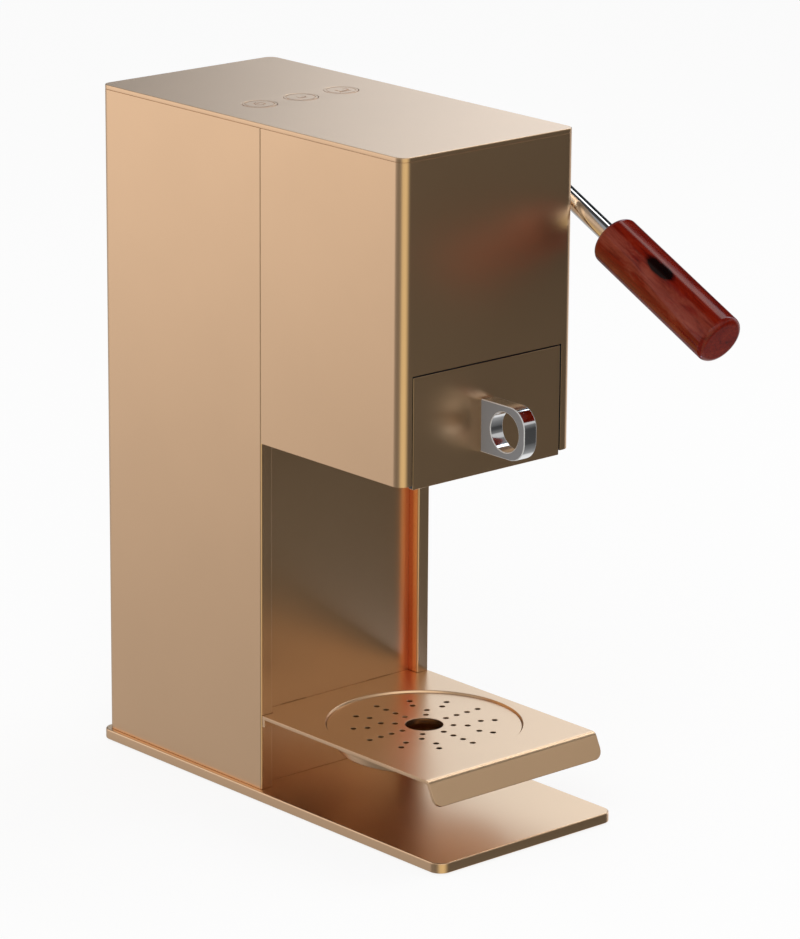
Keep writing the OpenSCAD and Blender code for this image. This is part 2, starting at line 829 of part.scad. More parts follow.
module board_bracket() {
    color("#a7a9ab") {
        block([-in_w, button_cy - board_d / 2, tray2_z1 - shelf_t], [in_w, button_cy + board_d / 2, tray2_z1]);
        for (s = [-1, 1], t = [-1, 1])
            post(s * (board_w - 5), button_cy + t * (board_d / 2 - 4), tray2_z1 - eps, board_z0, 2.5);
    }
}

module control_board() {
    color("#2f6b43") {
        block([-board_w, button_cy - board_d / 2, board_z0], [board_w, button_cy + board_d / 2, board_top]);
        block([-board_w + 2, button_cy - 5, board_z0 - 3], [-board_w + 16, button_cy + 5, board_z0 + eps]);
    }
}

module switches() {
    color("#3a3a3b") for (i = [-1 : 1]) translate([i * button_pitch, button_cy, 0])
        block([-3, -3, board_top], [3, 3, board_top + switch_h]);
}

// Cup with a small or a large outline, sunk into a button's face
module cup_mark(s) {
    difference() {
        union() {
            translate([-2.2 * s, -2 * s]) square([4.4 * s, 3.6 * s]);
            translate([2.2 * s, -0.1 * s]) circle(r = 1.3 * s);
        }
        translate([-1.7 * s, -1.5 * s]) square([3.4 * s, 3.2 * s]);
        translate([2.2 * s, -0.1 * s]) circle(r = 0.8 * s);
    }
    translate([-2.8 * s, -2.9 * s]) square([5.6 * s, 0.5 * s]);
}

module power_mark() {
    difference() {
        circle(r = 3);
        circle(r = 2.4);
        translate([-1, 0]) square([2, 4]);
    }
    translate([-0.3, 0.8]) square([0.6, 2.9]);
}

mark_d = 0.2;
module button(x) {
    translate([x, button_cy, 0]) difference() {
        union() {
            post(0, 0, shell_top - eps, overall_h, button_d / 2);
            post(0, 0, shell_top - button_flange_t, shell_top, button_d / 2 + button_flange);
            post(0, 0, stem_end, shell_top - button_flange_t + eps, 3);
        }
        translate([0, 0, overall_h - mark_d]) linear_extrude(height = 1) children();
        translate([0, 0, overall_h - mark_d]) difference() {
            cylinder(h = 1, r = button_d / 2 - 1);
            translate([0, 0, -1]) cylinder(h = 3, r = button_d / 2 - 1.5);
        }
    }
}

module button_left() {
    color("#d6c2a8") button(-button_pitch) power_mark();
}

module button_middle() {
    color("#d6c2a8") button(0) cup_mark(0.85);
}

module button_right() {
    color("#d6c2a8") button(button_pitch) cup_mark(1.25);
}

// Power inlet, with no cord

module power_inlet() {
    color("#232324") difference() {
        union() {
            block([-inlet_w, rear_y - inlet_l, inlet_z - inlet_h], [inlet_w, rear_y + eps, inlet_z + inlet_h]);
            block([-inlet_w - inlet_flange, rear_y, inlet_z - inlet_h - inlet_flange],
                [inlet_w + inlet_flange, rear_y + 1.5, inlet_z + inlet_h + inlet_flange]);
        }
        block([-inlet_w + 2, rear_y - inlet_l + 2, inlet_z - inlet_h + 2],
            [inlet_w - 2, rear_y + 3, inlet_z + inlet_h - 2]);
    }
}

module inlet_pins() {
    color("#c8b06a") for (p = [[-7, -1.5], [0, 2.5], [7, -1.5]])
        translate([p[0], rear_y - inlet_l + 2, inlet_z + p[1]])
            block([-pin_w / 2, 0, -2], [pin_w / 2, pin_l, 2]);
}

// Lever group

module lever_hub() {
    color("#c9cbcd") difference() {
        rod_along_x(hub_x0, hub_x1, pivot, pivot_z, hub_r);
        rod_along_x(hub_x0 - 1, hub_x1 + 1, pivot, pivot_z, shaft_r + fit_gap);
        on_lever() translate([0, 0, rod_start]) cylinder(h = hub_r, r = rod_d / 2 + fit_gap);
    }
}

module lever_shaft() {
    color("#b9bbbd") difference() {
        rod_along_x(clip_x - clip_t - 1, hub_x1, pivot, pivot_z, shaft_r);
        rod_along_x(hub_x1 - 10, hub_x1 + 1, pivot, pivot_z, 2 + fit_gap);
    }
}

module lever_rod() {
    color("#d2d4d6") on_lever() translate([0, 0, rod_start])
        cylinder(h = rod_l + tang_l - rod_start, r = rod_d / 2);
}

module lever_handle() {
    color("#7a2f1a") on_lever() difference() {
        union() {
            translate([0, 0, rod_l + handle_r]) cylinder(h = handle_l - 2 * handle_r, r = handle_d / 2);
            translate([0, 0, rod_l]) cylinder(h = handle_l, r = handle_d / 2 - handle_r);
            for (z = [rod_l + handle_r, handle_end - handle_r]) translate([0, 0, z])
                rotate_extrude() translate([handle_d / 2 - handle_r, 0]) circle(r = handle_r);
        }
        translate([0, 0, rod_l - 1]) cylinder(h = tang_l + 1, r = rod_d / 2 + fit_gap);
    }
}

module drive_gear() {
    color("#b58a3c") difference() {
        translate([0, pivot, pivot_z]) rotate([90, 0, 90]) translate([0, 0, -gear_w / 2])
            linear_extrude(height = gear_w) rotate(gear_teeth % 2 * 180 / gear_teeth)
                polygon(gear_points(pitch_r, gear_root, gear_tip, gear_teeth));
        rod_along_x(-gear_w, gear_w, pivot, pivot_z, shaft_r + fit_gap);
    }
}

module shaft_clip() {
    color("#55585c") difference() {
        rod_along_x(clip_x - clip_t, clip_x, pivot, pivot_z, shaft_r + 2.6);
        rod_along_x(clip_x - clip_t - 1, clip_x + 1, pivot, pivot_z, shaft_r + fit_gap);
    }
}

module hub_screw() {
    color("#c9cbcd") difference() {
        union() {
            rod_along_x(hub_x1, hub_x1 + 2.6, pivot, pivot_z, shaft_r + 1.6);
            rod_along_x(hub_x1 - 9, hub_x1 + eps, pivot, pivot_z, 2);
        }
        translate([hub_x1 + 1, pivot, pivot_z]) rotate([0, 90, 0]) cylinder(h = 3, r = 2, $fn = 6);
    }
}

// Piston group

module piston() {
    color("#c9cbcd") difference() {
        union() {
            post(0, brew, piston_z1, piston_top, piston_r);
            post(0, brew, piston_top - eps, stem_top, stem_r);
        }
        post(0, feed_y, piston_z1 + 1.2, piston_top + 1, feed_r + run_gap);
    }
}

module piston_seal() {
    color("#2b2a29") difference() {
        post(0, brew, piston_z0, piston_z1, piston_r);
        post(0, brew, piston_z0 - 1, piston_z1 + 1, piston_r - seal_w);
    }
}

module shower_plate() {
    r = piston_r - seal_w - slide_gap;
    color("#b9bbbd") difference() {
        post(0, brew, piston_z1 - 1.2, piston_z1, r);
        for (a = [0 : 30 : 330]) rotate(0)
            post(r * 0.72 * cos(a), brew + r * 0.72 * sin(a), piston_z0, piston_z1 + 1, 0.9);
        for (a = [0 : 60 : 300])
            post(r * 0.4 * cos(a), brew + r * 0.4 * sin(a), piston_z0, piston_z1 + 1, 0.9);
    }
}

module drive_rack() {
    back = rack_pitch_y - rack_ded - rack_bar;
    color("#8f9193") {
        along_x(-rack_w / 2, rack_w / 2) polygon(concat(
            [[rack_pitch_y - rack_ded, stem_top]], rack_teeth(),
            [[rack_pitch_y - rack_ded, rack_top], [back, rack_top], [back, stem_top]]));
        block([-rack_w / 2 - 2, back, stem_top], [rack_w / 2 + 2, brew + stem_r - 4, stem_top + foot_t]);
    }
}

// Capsule drawer

module drawer_front() {
    color("#b98f62") difference() {
        block([-front_w, head_y, front_z0], [front_w, front_back, front_z1]);
        pull_screw_places() rod_along_y(head_y - 1, front_back + 1, 0, 0, pull_screw_d / 2 + fit_gap);
    }
}

module drawer_body() {
    color("#5d5a57") difference() {
        union() {
            block([-box_w, front_back, head_z], [box_w, drawer_rear, deck_z - deck_t]);
            for (s = [0, 1]) mirror([s, 0, 0]) {
                block([box_w - eps, front_back, rail_z1], [runner_x, drawer_rear, rail_z1 + runner_t]);
                block([box_w - eps, front_back, rail_z0 - slide_gap - runner_t],
                    [runner_x, drawer_rear, rail_z0 - slide_gap]);
            }
        }
        block([-box_w + drawer_wall, front_back - 1, head_z + drawer_wall],
            [box_w - drawer_wall, drawer_rear + 1, deck_z]);
        post(0, brew, head_z - 1, head_z + drawer_wall + 1, spout_r + slide_gap);
    }
}

module drawer_deck() {
    color("#77746f") difference() {
        block([-box_w, front_back, deck_z - deck_t], [box_w, drawer_rear, deck_z]);
        post(0, brew, deck_z - deck_t - 1, deck_z + 1, cup_out_r + slide_gap);
    }
}

module capsule_cup() {
    color("#c9cbcd") difference() {
        union() {
            post(0, brew, cup_base, cup_top, cup_out_r);
            post(0, brew, deck_z, cup_top, cup_flange_r);
        }
        translate([0, brew, cup_base - eps])
            cylinder(h = cup_depth + 2 * eps, r1 = cup_floor_r, r2 = cup_r);
    }
}

// Funnel under the cup, with the spout
module outlet_spout() {
    color("#3a3a3b") difference() {
        union() {
            post(0, brew, spout_z0, cup_base - cup_wall, spout_r);
            translate([0, brew, funnel_z0 - 1])
                cylinder(h = funnel_h + 1 - cup_wall, r1 = spout_r, r2 = cup_out_r);
            post(0, brew, cup_base - cup_wall, cup_base, cup_out_r);
        }
        post(0, brew, spout_z0 - 1, cup_base, spout_bore_r);
        translate([0, brew, funnel_z0])
            cylinder(h = funnel_h + eps, r1 = spout_bore_r, r2 = cup_floor_r);
    }
}

screw_step = min(pull_h / 2 - 5, deck_z - deck_t - 0.4 - pull_screw_d - pull_c);
module pull_screw_places() {
    for (s = [-1, 1]) translate([0, 0, pull_c + s * screw_step]) children();
}

module pull_outline() {
    y0 = head_y - pull_reach;
    difference() {
        union() {
            translate([y0 + pull_r, pull_c - pull_h / 2]) square([pull_reach - pull_r, pull_h]);
            translate([y0, pull_c - pull_h / 2 + pull_r]) square([pull_reach, pull_h - 2 * pull_r]);
            for (s = [-1, 1]) translate([y0 + pull_r, pull_c + s * (pull_h / 2 - pull_r)]) circle(r = pull_r);
        }
        translate([head_y - pull_hole_y, pull_c]) circle(r = pull_hole_d / 2);
    }
}

module pull_ring() {
    color("#d2d4d6") difference() {
        along_x(-pull_t / 2, pull_t / 2) pull_outline();
        pull_screw_places() rod_along_y(head_y - 5.2, head_y + 1, 0, 0, pull_screw_d / 2 + fit_gap);
    }
}

module pull_screws() {
    color("#6e7072") pull_screw_places() {
        rod_along_y(head_y - 5, front_back, 0, 0, pull_screw_d / 2);
        rod_along_y(front_back, front_back + 2, 0, 0, pull_screw_d);
    }
}

// Drip tray

module tray_plan() {
    difference() {
        union() {
            translate([-tray_w, tray_front + tray_t])
                square([2 * tray_w, col_y - corner_gap - tray_front - tray_t]);
            translate([-tray_mid_w, tray_front + tray_t])
                square([2 * tray_mid_w, tray_mid_y - tray_front - tray_t]);
            for (s = [-1, 1]) translate([s * tongue_x - tongue_w / 2, 0])
                square([tongue_w, panel_back + tongue_l]);
        }
        translate([0, brew]) circle(r = recess_r);
    }
}

// Side view of the bend and the lip
module lip_outline() {
    a = [tray_front, tray_top - tray_t];
    b = [tray_front - lip_out, tray_top - lip_h];
    translate([tray_front + tray_t, tray_top - tray_t]) intersection() {
        circle(r = tray_t);
        translate([-2 * tray_t, 0]) square([2 * tray_t + eps, 2 * tray_t]);
    }
    polygon([a, b, [b[0] + tray_t, b[1]], [a[0] + tray_t + eps, a[1]], [a[0] + tray_t + eps, a[1] + eps], [a[0], a[1] + eps]]);
}

module tray_plate() {
    color("#dcbd98") {
        translate([0, 0, tray_top - tray_t]) linear_extrude(height = tray_t) tray_plan();
        intersection() {
            along_x(-tray_w, tray_w) lip_outline();
            along_y(tray_front - lip_out - 1, tray_front + 2 * tray_t)
                union() {
                    translate([-tray_w, tray_top - lip_h + lip_r]) square([2 * tray_w, lip_h]);
                    translate([-tray_w + lip_r, tray_top - lip_h - 1]) square([2 * (tray_w - lip_r), lip_h]);
                    for (s = [-1, 1]) translate([s * (tray_w - lip_r), tray_top - lip_h + lip_r]) circle(r = lip_r);
                }
        }
        // Flanges at the rear corners
        for (s = [0, 1]) mirror([s, 0, 0])
            block([tray_mid_w + 1, col_y - corner_gap - tray_t, tray_top - flange_h],
                [tray_w, col_y - corner_gap, tray_top - eps]);
        // Ring and ledge that carry the drain plate
        translate([0, brew, 0]) difference() {
            translate([0, 0, bowl_top]) cylinder(h = tray_top - bowl_top - eps, r = ring_r);
            translate([0, 0, seat_z]) cylinder(h = 20, r = recess_r);
            translate([0, 0, bowl_top - 1]) cylinder(h = 20, r = bowl_r);
        }
    }
}

module drip_bowl() {
    z0 = tray_top - bowl_depth;
    h = bowl_top - z0;
    color("#b08a5f") translate([0, brew, z0]) difference() {
        cylinder(h = h, r1 = bowl_floor_r, r2 = bowl_rim_r);
        translate([0, 0, bowl_t])
            cylinder(h = h - bowl_t - bowl_flange_t, r1 = bowl_floor_r - bowl_t / 2, r2 = bowl_rim_r - 2 * bowl_t);
        translate([0, 0, h - 2 * bowl_flange_t]) cylinder(h = h, r = bowl_rim_r - bowl_flange);
    }
}

module drain_plate() {
    step = (drain_r - drain_hole_r) / 5.5;
    color("#d9c3a6") translate([0, brew, 0]) difference() {
        translate([0, 0, seat_z]) cylinder(h = drain_t, r = drain_r);
        translate([0, 0, seat_z - 1]) cylinder(h = drain_t + 2, r = drain_hole_r);
        for (k = [0 : 3]) {
            n = k < 2 ? 8 : 12;
            for (i = [0 : n - 1])
                rotate(i * 360 / n) translate([drain_hole_r + step * (k + 0.7), 0, seat_z - 1])
                    cylinder(h = drain_t + 2, r = drip_hole_d / 2);
        }
    }
}

// Water tank

module tank_body() {
    color("#8fa3ad") difference() {
        block([-tank_w, tank_y0, floor_z], [tank_w, tank_y1, tank_top]);
        block([-tank_w + tank_wall, tank_y0 + tank_wall, floor_z + tank_wall],
            [tank_w - tank_wall, tank_y1 - tank_wall, tank_top + 1]);
        rod_along_y(tank_y0 - 1, tank_y0 + tank_wall + 1, dock_x, valve_z, valve_r - 2);
    }
}

module tank_door() {
    z1 = door_top - 2;
    z0 = z1 - pocket_h;
    color("#d9b48a") difference() {
        union() {
            block([-door_w, door_y0, floor_z], [door_w, rear_y, door_top]);
            block([-pocket_w / 2 - tank_wall, rear_y - pocket_d - tank_wall, z0 - tank_wall],
                [pocket_w / 2 + tank_wall, door_y0 + eps, z1 + tank_wall - 1]);
        }
        block([-pocket_w / 2, rear_y - pocket_d, z0], [pocket_w / 2, rear_y + 1, z1 - 1]);
    }
}

module tank_valve() {
    color("#3a3a3b") difference() {
        union() {
            rod_along_y(tank_y0 - valve_l, tank_y0, dock_x, valve_z, valve_r);
        }
        rod_along_y(tank_y0 - valve_l - 1, tank_y0 + 1, dock_x, valve_z, valve_r - 2);
    }
}

base_pad();
base_plate();
base_brackets();
base_screws();
column_shell();
column_front_panel();
closing_strip();
head_shell();
head_bolts();
top_cover();
brew_frame();
guide_bush();
shaft_bushes();
wall_bush();
drawer_rails();
feed_tube();
boiler();
boiler_bracket();
pump();
pump_mounts();
suction_hose();
pressure_hose();
tank_shelf();
tank_dock();
tray_bracket();
board_bracket();
control_board();
switches();
power_inlet();
inlet_pins();
lever_hub();
lever_shaft();
lever_rod();
lever_handle();
drive_gear();
shaft_clip();
hub_screw();
piston();
piston_seal();
shower_plate();
drive_rack();
drawer_front();
drawer_body();
drawer_deck();
capsule_cup();
outlet_spout();
pull_ring();
pull_screws();
tray_plate();
drip_bowl();
drain_plate();
button_left();
button_middle();
button_right();
tank_body();
tank_door();
tank_valve();
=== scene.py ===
import math

import bmesh
import bpy
from mathutils import Matrix, Vector
from mathutils.geometry import tessellate_polygon


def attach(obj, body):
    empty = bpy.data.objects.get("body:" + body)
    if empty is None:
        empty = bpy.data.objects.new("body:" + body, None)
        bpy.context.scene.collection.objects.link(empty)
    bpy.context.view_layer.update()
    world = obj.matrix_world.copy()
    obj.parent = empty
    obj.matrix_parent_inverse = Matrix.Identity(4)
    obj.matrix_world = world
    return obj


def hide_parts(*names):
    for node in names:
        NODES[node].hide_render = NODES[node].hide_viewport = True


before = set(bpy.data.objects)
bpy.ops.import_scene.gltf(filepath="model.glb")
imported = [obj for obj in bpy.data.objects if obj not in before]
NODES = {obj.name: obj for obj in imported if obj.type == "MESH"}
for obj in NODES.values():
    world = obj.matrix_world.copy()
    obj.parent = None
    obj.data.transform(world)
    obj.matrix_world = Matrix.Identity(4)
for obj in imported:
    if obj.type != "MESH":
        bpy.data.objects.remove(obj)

MM = 0.001
SCENE = bpy.context.scene
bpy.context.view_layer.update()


# Sizes in millimetres, as in the solids but for a few edges and gaps

BASE_HALF_W = 57.5
BASE_HALF_D = 130
BASE_CORNER = 6.5
BASE_Z = 0.6
BASE_TOP = 5.8
SHELL_TOP = 339.4
COVER_TOP = 341.7
HALF_W = 55.0
WALL = 1.6
CORNER = 5.3
STRIP_EDGE = 0.8
HEAD_Y = -97.3
HEAD_Z = 183.8
JOINT_Y = 4.5
REAR_Y = 127.5
RECESS_X = 47.7
PANEL_Y = 11.5
PANEL_BACK = 13.1
PANEL_TOP = 195.8
SLOT_X = 28
SLOT_HALF = 8.15
SLOT_LOW = 42.3
SLOT_HIGH = 44.5
OPEN_X = 47.7
OPEN_Z = 237.0
FLANGE_IN = 48.4
FLANGE_OUT = 54.2
RIB_IN = 51.6
RIB_OUT = 53.1
BUTTON_X = (-26, 0, 26)
BUTTON_Y = 39.9
BUTTON_HOLE_R = 8.6

# Rear: openings, tank door and its finger pocket
BAY_HALF = 48.1
BAY_LOW = 117.4
BAY_HIGH = 309.6
INLET_HALF = 14.05
INLET_LOW = 29.75
INLET_HIGH = 49.85
VENTS = 5
VENT_HALF = 30.0
VENT_LOW = 62.8
VENT_HIGH = 65.8
VENT_STEP = 7
DOOR_HALF = 47.5
DOOR_LOW = 118
DOOR_HIGH = 309
DOOR_BACK = 124.5
POCKET_HALF = 24
POCKET_LOW = 291
POCKET_HIGH = 306
POCKET_WALL = 2
POCKET_FLOOR = 110.5

# Lever: pivot, hub across the body, rod and handle along their own axis from the pivot
PIVOT_X = 62.0
PIVOT_Y = -52.4
PIVOT_Z = 321.6
LEVER_ANGLE = math.radians(26.1)
SHAFT_HOLE_R = 7.1
SHAFT_CELL = 10
HUB_BORE = 5.3
HUB_R = 13.0
HUB_IN = 56.4
HUB_OUT = 67.6
HUB_EDGE = 0.8
ROD_R = 4.6
ROD_START = 8.0
ROD_RING = 40.0
ROD_END = 111.2
GRIP_R = 12.6
GRIP_START = 71.2
GRIP_RINGS = (95.0, 125.0)
GRIP_END = 153.5
GRIP_EDGE = 3.0

# Drawer's front and its pull
DRAWER_LEFT = -47.1
DRAWER_RIGHT = 46.8
DRAWER_LOW = 181.8
DRAWER_HIGH = 236.2
DRAWER_BACK = -94.3
PULL_Z = 205.7
PULL_HALF_H = 13.05
PULL_HALF_W = 4
PULL_CORNER = 10
PULL_CORNER_Y = -117.3
PULL_CORNER_Z = 3.05
PULL_HOLE_Y = -113.5
PULL_HOLE_R = 9.75

# Drip tray and drain plate
BREW_Y = -54.4
TRAY_HALF = 54.7
TRAY_FRONT = -117.5
TRAY_SHEET = 1.8
TRAY_TOP = 44.4
TRAY_UNDER = 42.6
SHOULDER_Y = 4.2
PASS_HALF = 47.3
PASS_Y = 11.4
TONGUE_IN = 20.0
TONGUE_OUT = 36.0
TONGUE_Y = 29.1
BEND_R = 3.4
BEND_REACH = 3.2
LIP_LEAN = 25.7
LIP_LENGTH = 12.2
LIP_CORNER = 5.0
RECESS_R = 48.5
RECESS_EDGE = 0.2
RECESS_FOOT = 41.4
SEAT_R = 47.4
SEAT_Z = 40.6
LEDGE_R = 42.9
LEDGE_SHEET = 1.2
RING_R = 49.7
DRAIN_TOP = 43.4
DRAIN_HOLE_R = 9.4
DRAIN_HOLE_EDGE = 0.12
DRIP_HOLE_R = 1.5
DRIP_ROW = 7.018
DRIP_FIRST_ROW = 0.7
DRIP_COUNTS = (8, 8, 12, 12)

# Sides of round forms, and rows of a rounded edge
HOLE_SIDES = 32
LEVER_SIDES = 72
ROD_SIDES = 48
BOWL_SIDES = 96
EDGE_ROWS = 3
# The middle of a rounded edge stands back by this share of its radius
EDGE_SHARE = 0.29

# Handle's figure in its own frame: angles round its axis of the painted sheen and the dull underside,
# place and size of the knot
SHEEN_ANGLE = math.radians(150.0)
DULL_ANGLE = math.radians(228.0)
KNOT = (-6.2, 10.97, 108.5)
KNOT_SIZE = (4.4, 4.4, 12.0)


# Outlines

def arc(cx, cy, r, a0, a1, n):
    """Points of an arc between two angles in degrees."""
    points = []
    for i in range(n + 1):
        a = math.radians(a0 + (a1 - a0) * i / n)
        points.append((cx + r * math.cos(a), cy + r * math.sin(a)))
    return points


def circle(cx, cy, r, n):
    """A closed circle, counter-clockwise."""
    return arc(cx, cy, r, 0.0, 360.0, n)[:-1]


def rounded(x0, y0, x1, y1, r, n=8):
    """A rounded rectangle, counter-clockwise."""
    loop = []
    loop += arc(x1 - r, y0 + r, r, -90, 0, n)
    loop += arc(x1 - r, y1 - r, r, 0, 90, n)
    loop += arc(x0 + r, y1 - r, r, 90, 180, n)
    loop += arc(x0 + r, y0 + r, r, 180, 270, n)
    return loop


def hole(loop):
    """The same loop as a hole, clockwise."""
    return list(reversed(loop))


def inset(loop, d):
    """The loop moved to its left by d, which is into the material."""
    if d == 0.0:
        return list(loop)
    out = []
    n = len(loop)
    for i in range(n):
        px, py = loop[i - 1]
        x, y = loop[i]
        qx, qy = loop[(i + 1) % n]
        ax, ay = x - px, y - py
        bx, by = qx - x, qy - y
        la = math.hypot(ax, ay)
        lb = math.hypot(bx, by)
        nax, nay = -ay / la, ax / la
        nbx, nby = -by / lb, bx / lb
        k = d / (1.0 + nax * nbx + nay * nby)
        out.append((x + (nax + nbx) * k, y + (nay + nby) * k))
    return out


# Mesh helpers

def flat_z(u, v, w):
    """A plan at height w."""
    return (u, v, w)


def flat_y(u, v, w):
    """An outline in x and z, pushed along y."""
    return (u, -w, v)


def flat_x(u, v, w):
    """An outline in y and z, pushed along x."""
    return (w, u, v)


def fill(bm, rings, flip):
    """A flat face with holes between rings of vertices."""
    loops = []
    verts = []
    for ring in rings:
        loops.append([v.co.copy() for v in ring])
        verts += ring
    for tri in tessellate_polygon(loops):
        a, b, c = (verts[i] for i in tri)
        if flip:
            a, c = c, a
        try:
            bm.faces.new((a, b, c))
        except ValueError:
            continue


def band(bm, one, two):
    """Faces between two closed rings of vertices."""
    n = len(one)
    for i in range(n):
        m = (i + 1) % n
        bm.faces.new((one[i], one[m], two[m], two[i]))


def prism(bm, loops, w0, w1, place, low=0.0, high=0.0):
    """Outlines pushed from w0 to w1 with rounded lower and upper edges."""
    levels = []
    for i in range(EDGE_ROWS if low else 0):
        a = math.radians(90.0 * i / EDGE_ROWS)
        levels.append((w0 + low * (1 - math.cos(a)), low * (1 - math.sin(a))))
    levels.append((w0 + low, 0.0))
    levels.append((w1 - high, 0.0))
    for i in range(EDGE_ROWS if high else 0):
        a = math.radians(90.0 * (EDGE_ROWS - 1 - i) / EDGE_ROWS)
        levels.append((w1 - high * (1 - math.cos(a)), high * (1 - math.sin(a))))
    rings = []
    for w, d in levels:
        row = []
        for loop in loops:
            row.append([bm.verts.new(place(u, v, w)) for u, v in inset(loop, d)])
        rings.append(row)
    for j in range(len(levels) - 1):
        for k in range(len(loops)):
            band(bm, rings[j][k], rings[j + 1][k])
    fill(bm, rings[0], True)
    fill(bm, rings[-1], False)


def turn(bm, profile, place, n):
    """A closed profile of (radius, height) turned about an axis."""
    rows = []
    for i in range(n):
        a = 2 * math.pi * i / n
        c, s = math.cos(a), math.sin(a)
        rows.append([bm.verts.new(place(r * c, r * s, w)) for r, w in profile])
    count = len(profile)
    for i in range(n):
        one = rows[i]
        two = rows[(i + 1) % n]
        for k in range(count):
            m = (k + 1) % count
            if profile[k][0] == 0.0 and profile[m][0] == 0.0:
                continue
            bm.faces.new((one[k], two[k], two[m], one[m]))


def sheet(bm, outer, inner, levels, gone, rounds=()):
    """Bent sheet: outer and inner paths stacked over levels, less the cells that are gone.

    A round is (cell, level, centre y, centre z, radius): a round hole in a flat side cell.
    """
    n = len(outer)
    m = len(levels)
    out = [[bm.verts.new((x, y, z)) for z in levels] for x, y in outer]
    ins = [[bm.verts.new((x, y, z)) for z in levels] for x, y in inner]

    def there(i, k):
        if i < 0 or k < 0 or i >= n - 1 or k >= m - 1:
            return False
        return not gone(i, k)

    special = {(r[0], r[1]): r for r in rounds}
    for i in range(n - 1):
        for k in range(m - 1):
            if not there(i, k):
                continue
            a = (out[i][k], out[i + 1][k], out[i + 1][k + 1], out[i][k + 1])
            b = (ins[i][k], ins[i + 1][k], ins[i + 1][k + 1], ins[i][k + 1])
            if (i, k) in special:
                cy, cz, r = special[(i, k)][2:]
                xa = a[0].co.x
                xb = b[0].co.x
                ring = circle(cy, cz, r, HOLE_SIDES)
                ra = [bm.verts.new((xa, y, z)) for y, z in ring]
                rb = [bm.verts.new((xb, y, z)) for y, z in ring]
                fill(bm, [list(a), ra], False)
                fill(bm, [list(b), rb], True)
                band(bm, ra, rb)
            else:
                bm.faces.new(a)
                bm.faces.new(tuple(reversed(b)))
            if not there(i - 1, k):
                bm.faces.new((a[0], a[3], b[3], b[0]))
            if not there(i + 1, k):
                bm.faces.new((a[1], b[1], b[2], a[2]))
            if not there(i, k - 1):
                bm.faces.new((a[0], b[0], b[1], a[1]))
            if not there(i, k + 1):
                bm.faces.new((a[3], a[2], b[2], b[3]))


def soften(ob, width, angle):
    """Rounds the edges of an object that are sharper than an angle in degrees."""
    mod = ob.modifiers.new("edges", "BEVEL")
    mod.width = width * MM
    mod.segments = 2
    mod.limit_method = "ANGLE"
    mod.angle_limit = math.radians(angle)


def piece(name, bm, body, material, nodes, bevel=0.0, angle=50.0, frame_matrix=None):
    """Closes a mesh in millimetres into a piece that rides on a body and stands for nodes."""
    bmesh.ops.remove_doubles(bm, verts=bm.verts, dist=0.001)
    bmesh.ops.dissolve_degenerate(bm, edges=bm.edges, dist=0.0005)
    bmesh.ops.recalc_face_normals(bm, faces=bm.faces)
    bmesh.ops.scale(bm, vec=(MM, MM, MM), verts=bm.verts)
    mesh = bpy.data.meshes.new(name)
    bm.to_mesh(mesh)
    bm.free()
    for face in mesh.polygons:
        face.use_smooth = True
    ob = bpy.data.objects.new(name, mesh)
    SCENE.collection.objects.link(ob)
    if frame_matrix is not None:
        ob.matrix_world = frame_matrix
    mesh.materials.append(material)
    if bevel:
        soften(ob, bevel, angle)
    mod = ob.modifiers.new("normals", "WEIGHTED_NORMAL")
    mod.weight = 80
    mod.keep_sharp = True
    bpy.context.view_layer.update()
    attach(ob, body)
    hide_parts(*nodes)
    return ob


def paint_gap_shade(ob, pick):
    """Faces of a seam, picked by centre and normal, get the black material as painted shade in the gap.
    """
    ob.data.materials.append(BLACK)
    for face in ob.data.polygons:
        if pick(face.center, face.normal):
            face.material_index = len(ob.data.materials) - 1


# Materials

def start(name):
    """A new material, its tree, its shader and its object coordinates."""
    mat = bpy.data.materials.new(name)
    mat.use_nodes = True
    tree = mat.node_tree
    shader = tree.nodes["Principled BSDF"]
    coords = tree.nodes.new("ShaderNodeTexCoord")
    return mat, tree, shader, coords.outputs["Object"]


def noise(tree, vector, scale, detail=2.0, rough=0.5, distortion=0.0):
    """Clouds between 0 and 1."""
    node = tree.nodes.new("ShaderNodeTexNoise")
    node.inputs["Scale"].default_value = scale
    node.inputs["Detail"].default_value = detail
    node.inputs["Roughness"].default_value = rough
    node.inputs["Distortion"].default_value = distortion
    tree.links.new(vector, node.inputs["Vector"])
    return node.outputs["Fac"]


def stretch(tree, vector, scale, rotation=(0.0, 0.0, 0.0)):
    """Coordinates scaled and turned."""
    node = tree.nodes.new("ShaderNodeMapping")
    node.inputs["Scale"].default_value = scale
    node.inputs["Rotation"].default_value = rotation
    tree.links.new(vector, node.inputs["Vector"])
    return node.outputs["Vector"]


def ramp(tree, value, stops):
    """A value turned into colours by stops of (place, colour)."""
    node = tree.nodes.new("ShaderNodeValToRGB")
    band = node.color_ramp
    while len(band.elements) < len(stops):
        band.elements.new(0.5)
    for element, (place, colour) in zip(band.elements, stops):
        element.position = place
        element.color = (*colour, 1.0)
    tree.links.new(value, node.inputs["Fac"])
    return node.outputs["Color"]


def spread(tree, value, low, high, from_low=0.3, from_high=0.7):
    """A value moved from one range to another."""
    node = tree.nodes.new("ShaderNodeMapRange")
    node.inputs["From Min"].default_value = from_low
    node.inputs["From Max"].default_value = from_high
    node.inputs["To Min"].default_value = low
    node.inputs["To Max"].default_value = high
    tree.links.new(value, node.inputs["Value"])
    return node.outputs["Result"]


def blend(tree, kind, factor, one, two):
    """Two colours blended; the factor is a number or an output."""
    node = tree.nodes.new("ShaderNodeMix")
    node.data_type = "RGBA"
    node.blend_type = kind
    if isinstance(factor, float):
        node.inputs["Factor"].default_value = factor
    else:
        tree.links.new(factor, node.inputs["Factor"])
    tree.links.new(one, node.inputs["A"])
    tree.links.new(two, node.inputs["B"])
    return node.outputs["Result"]


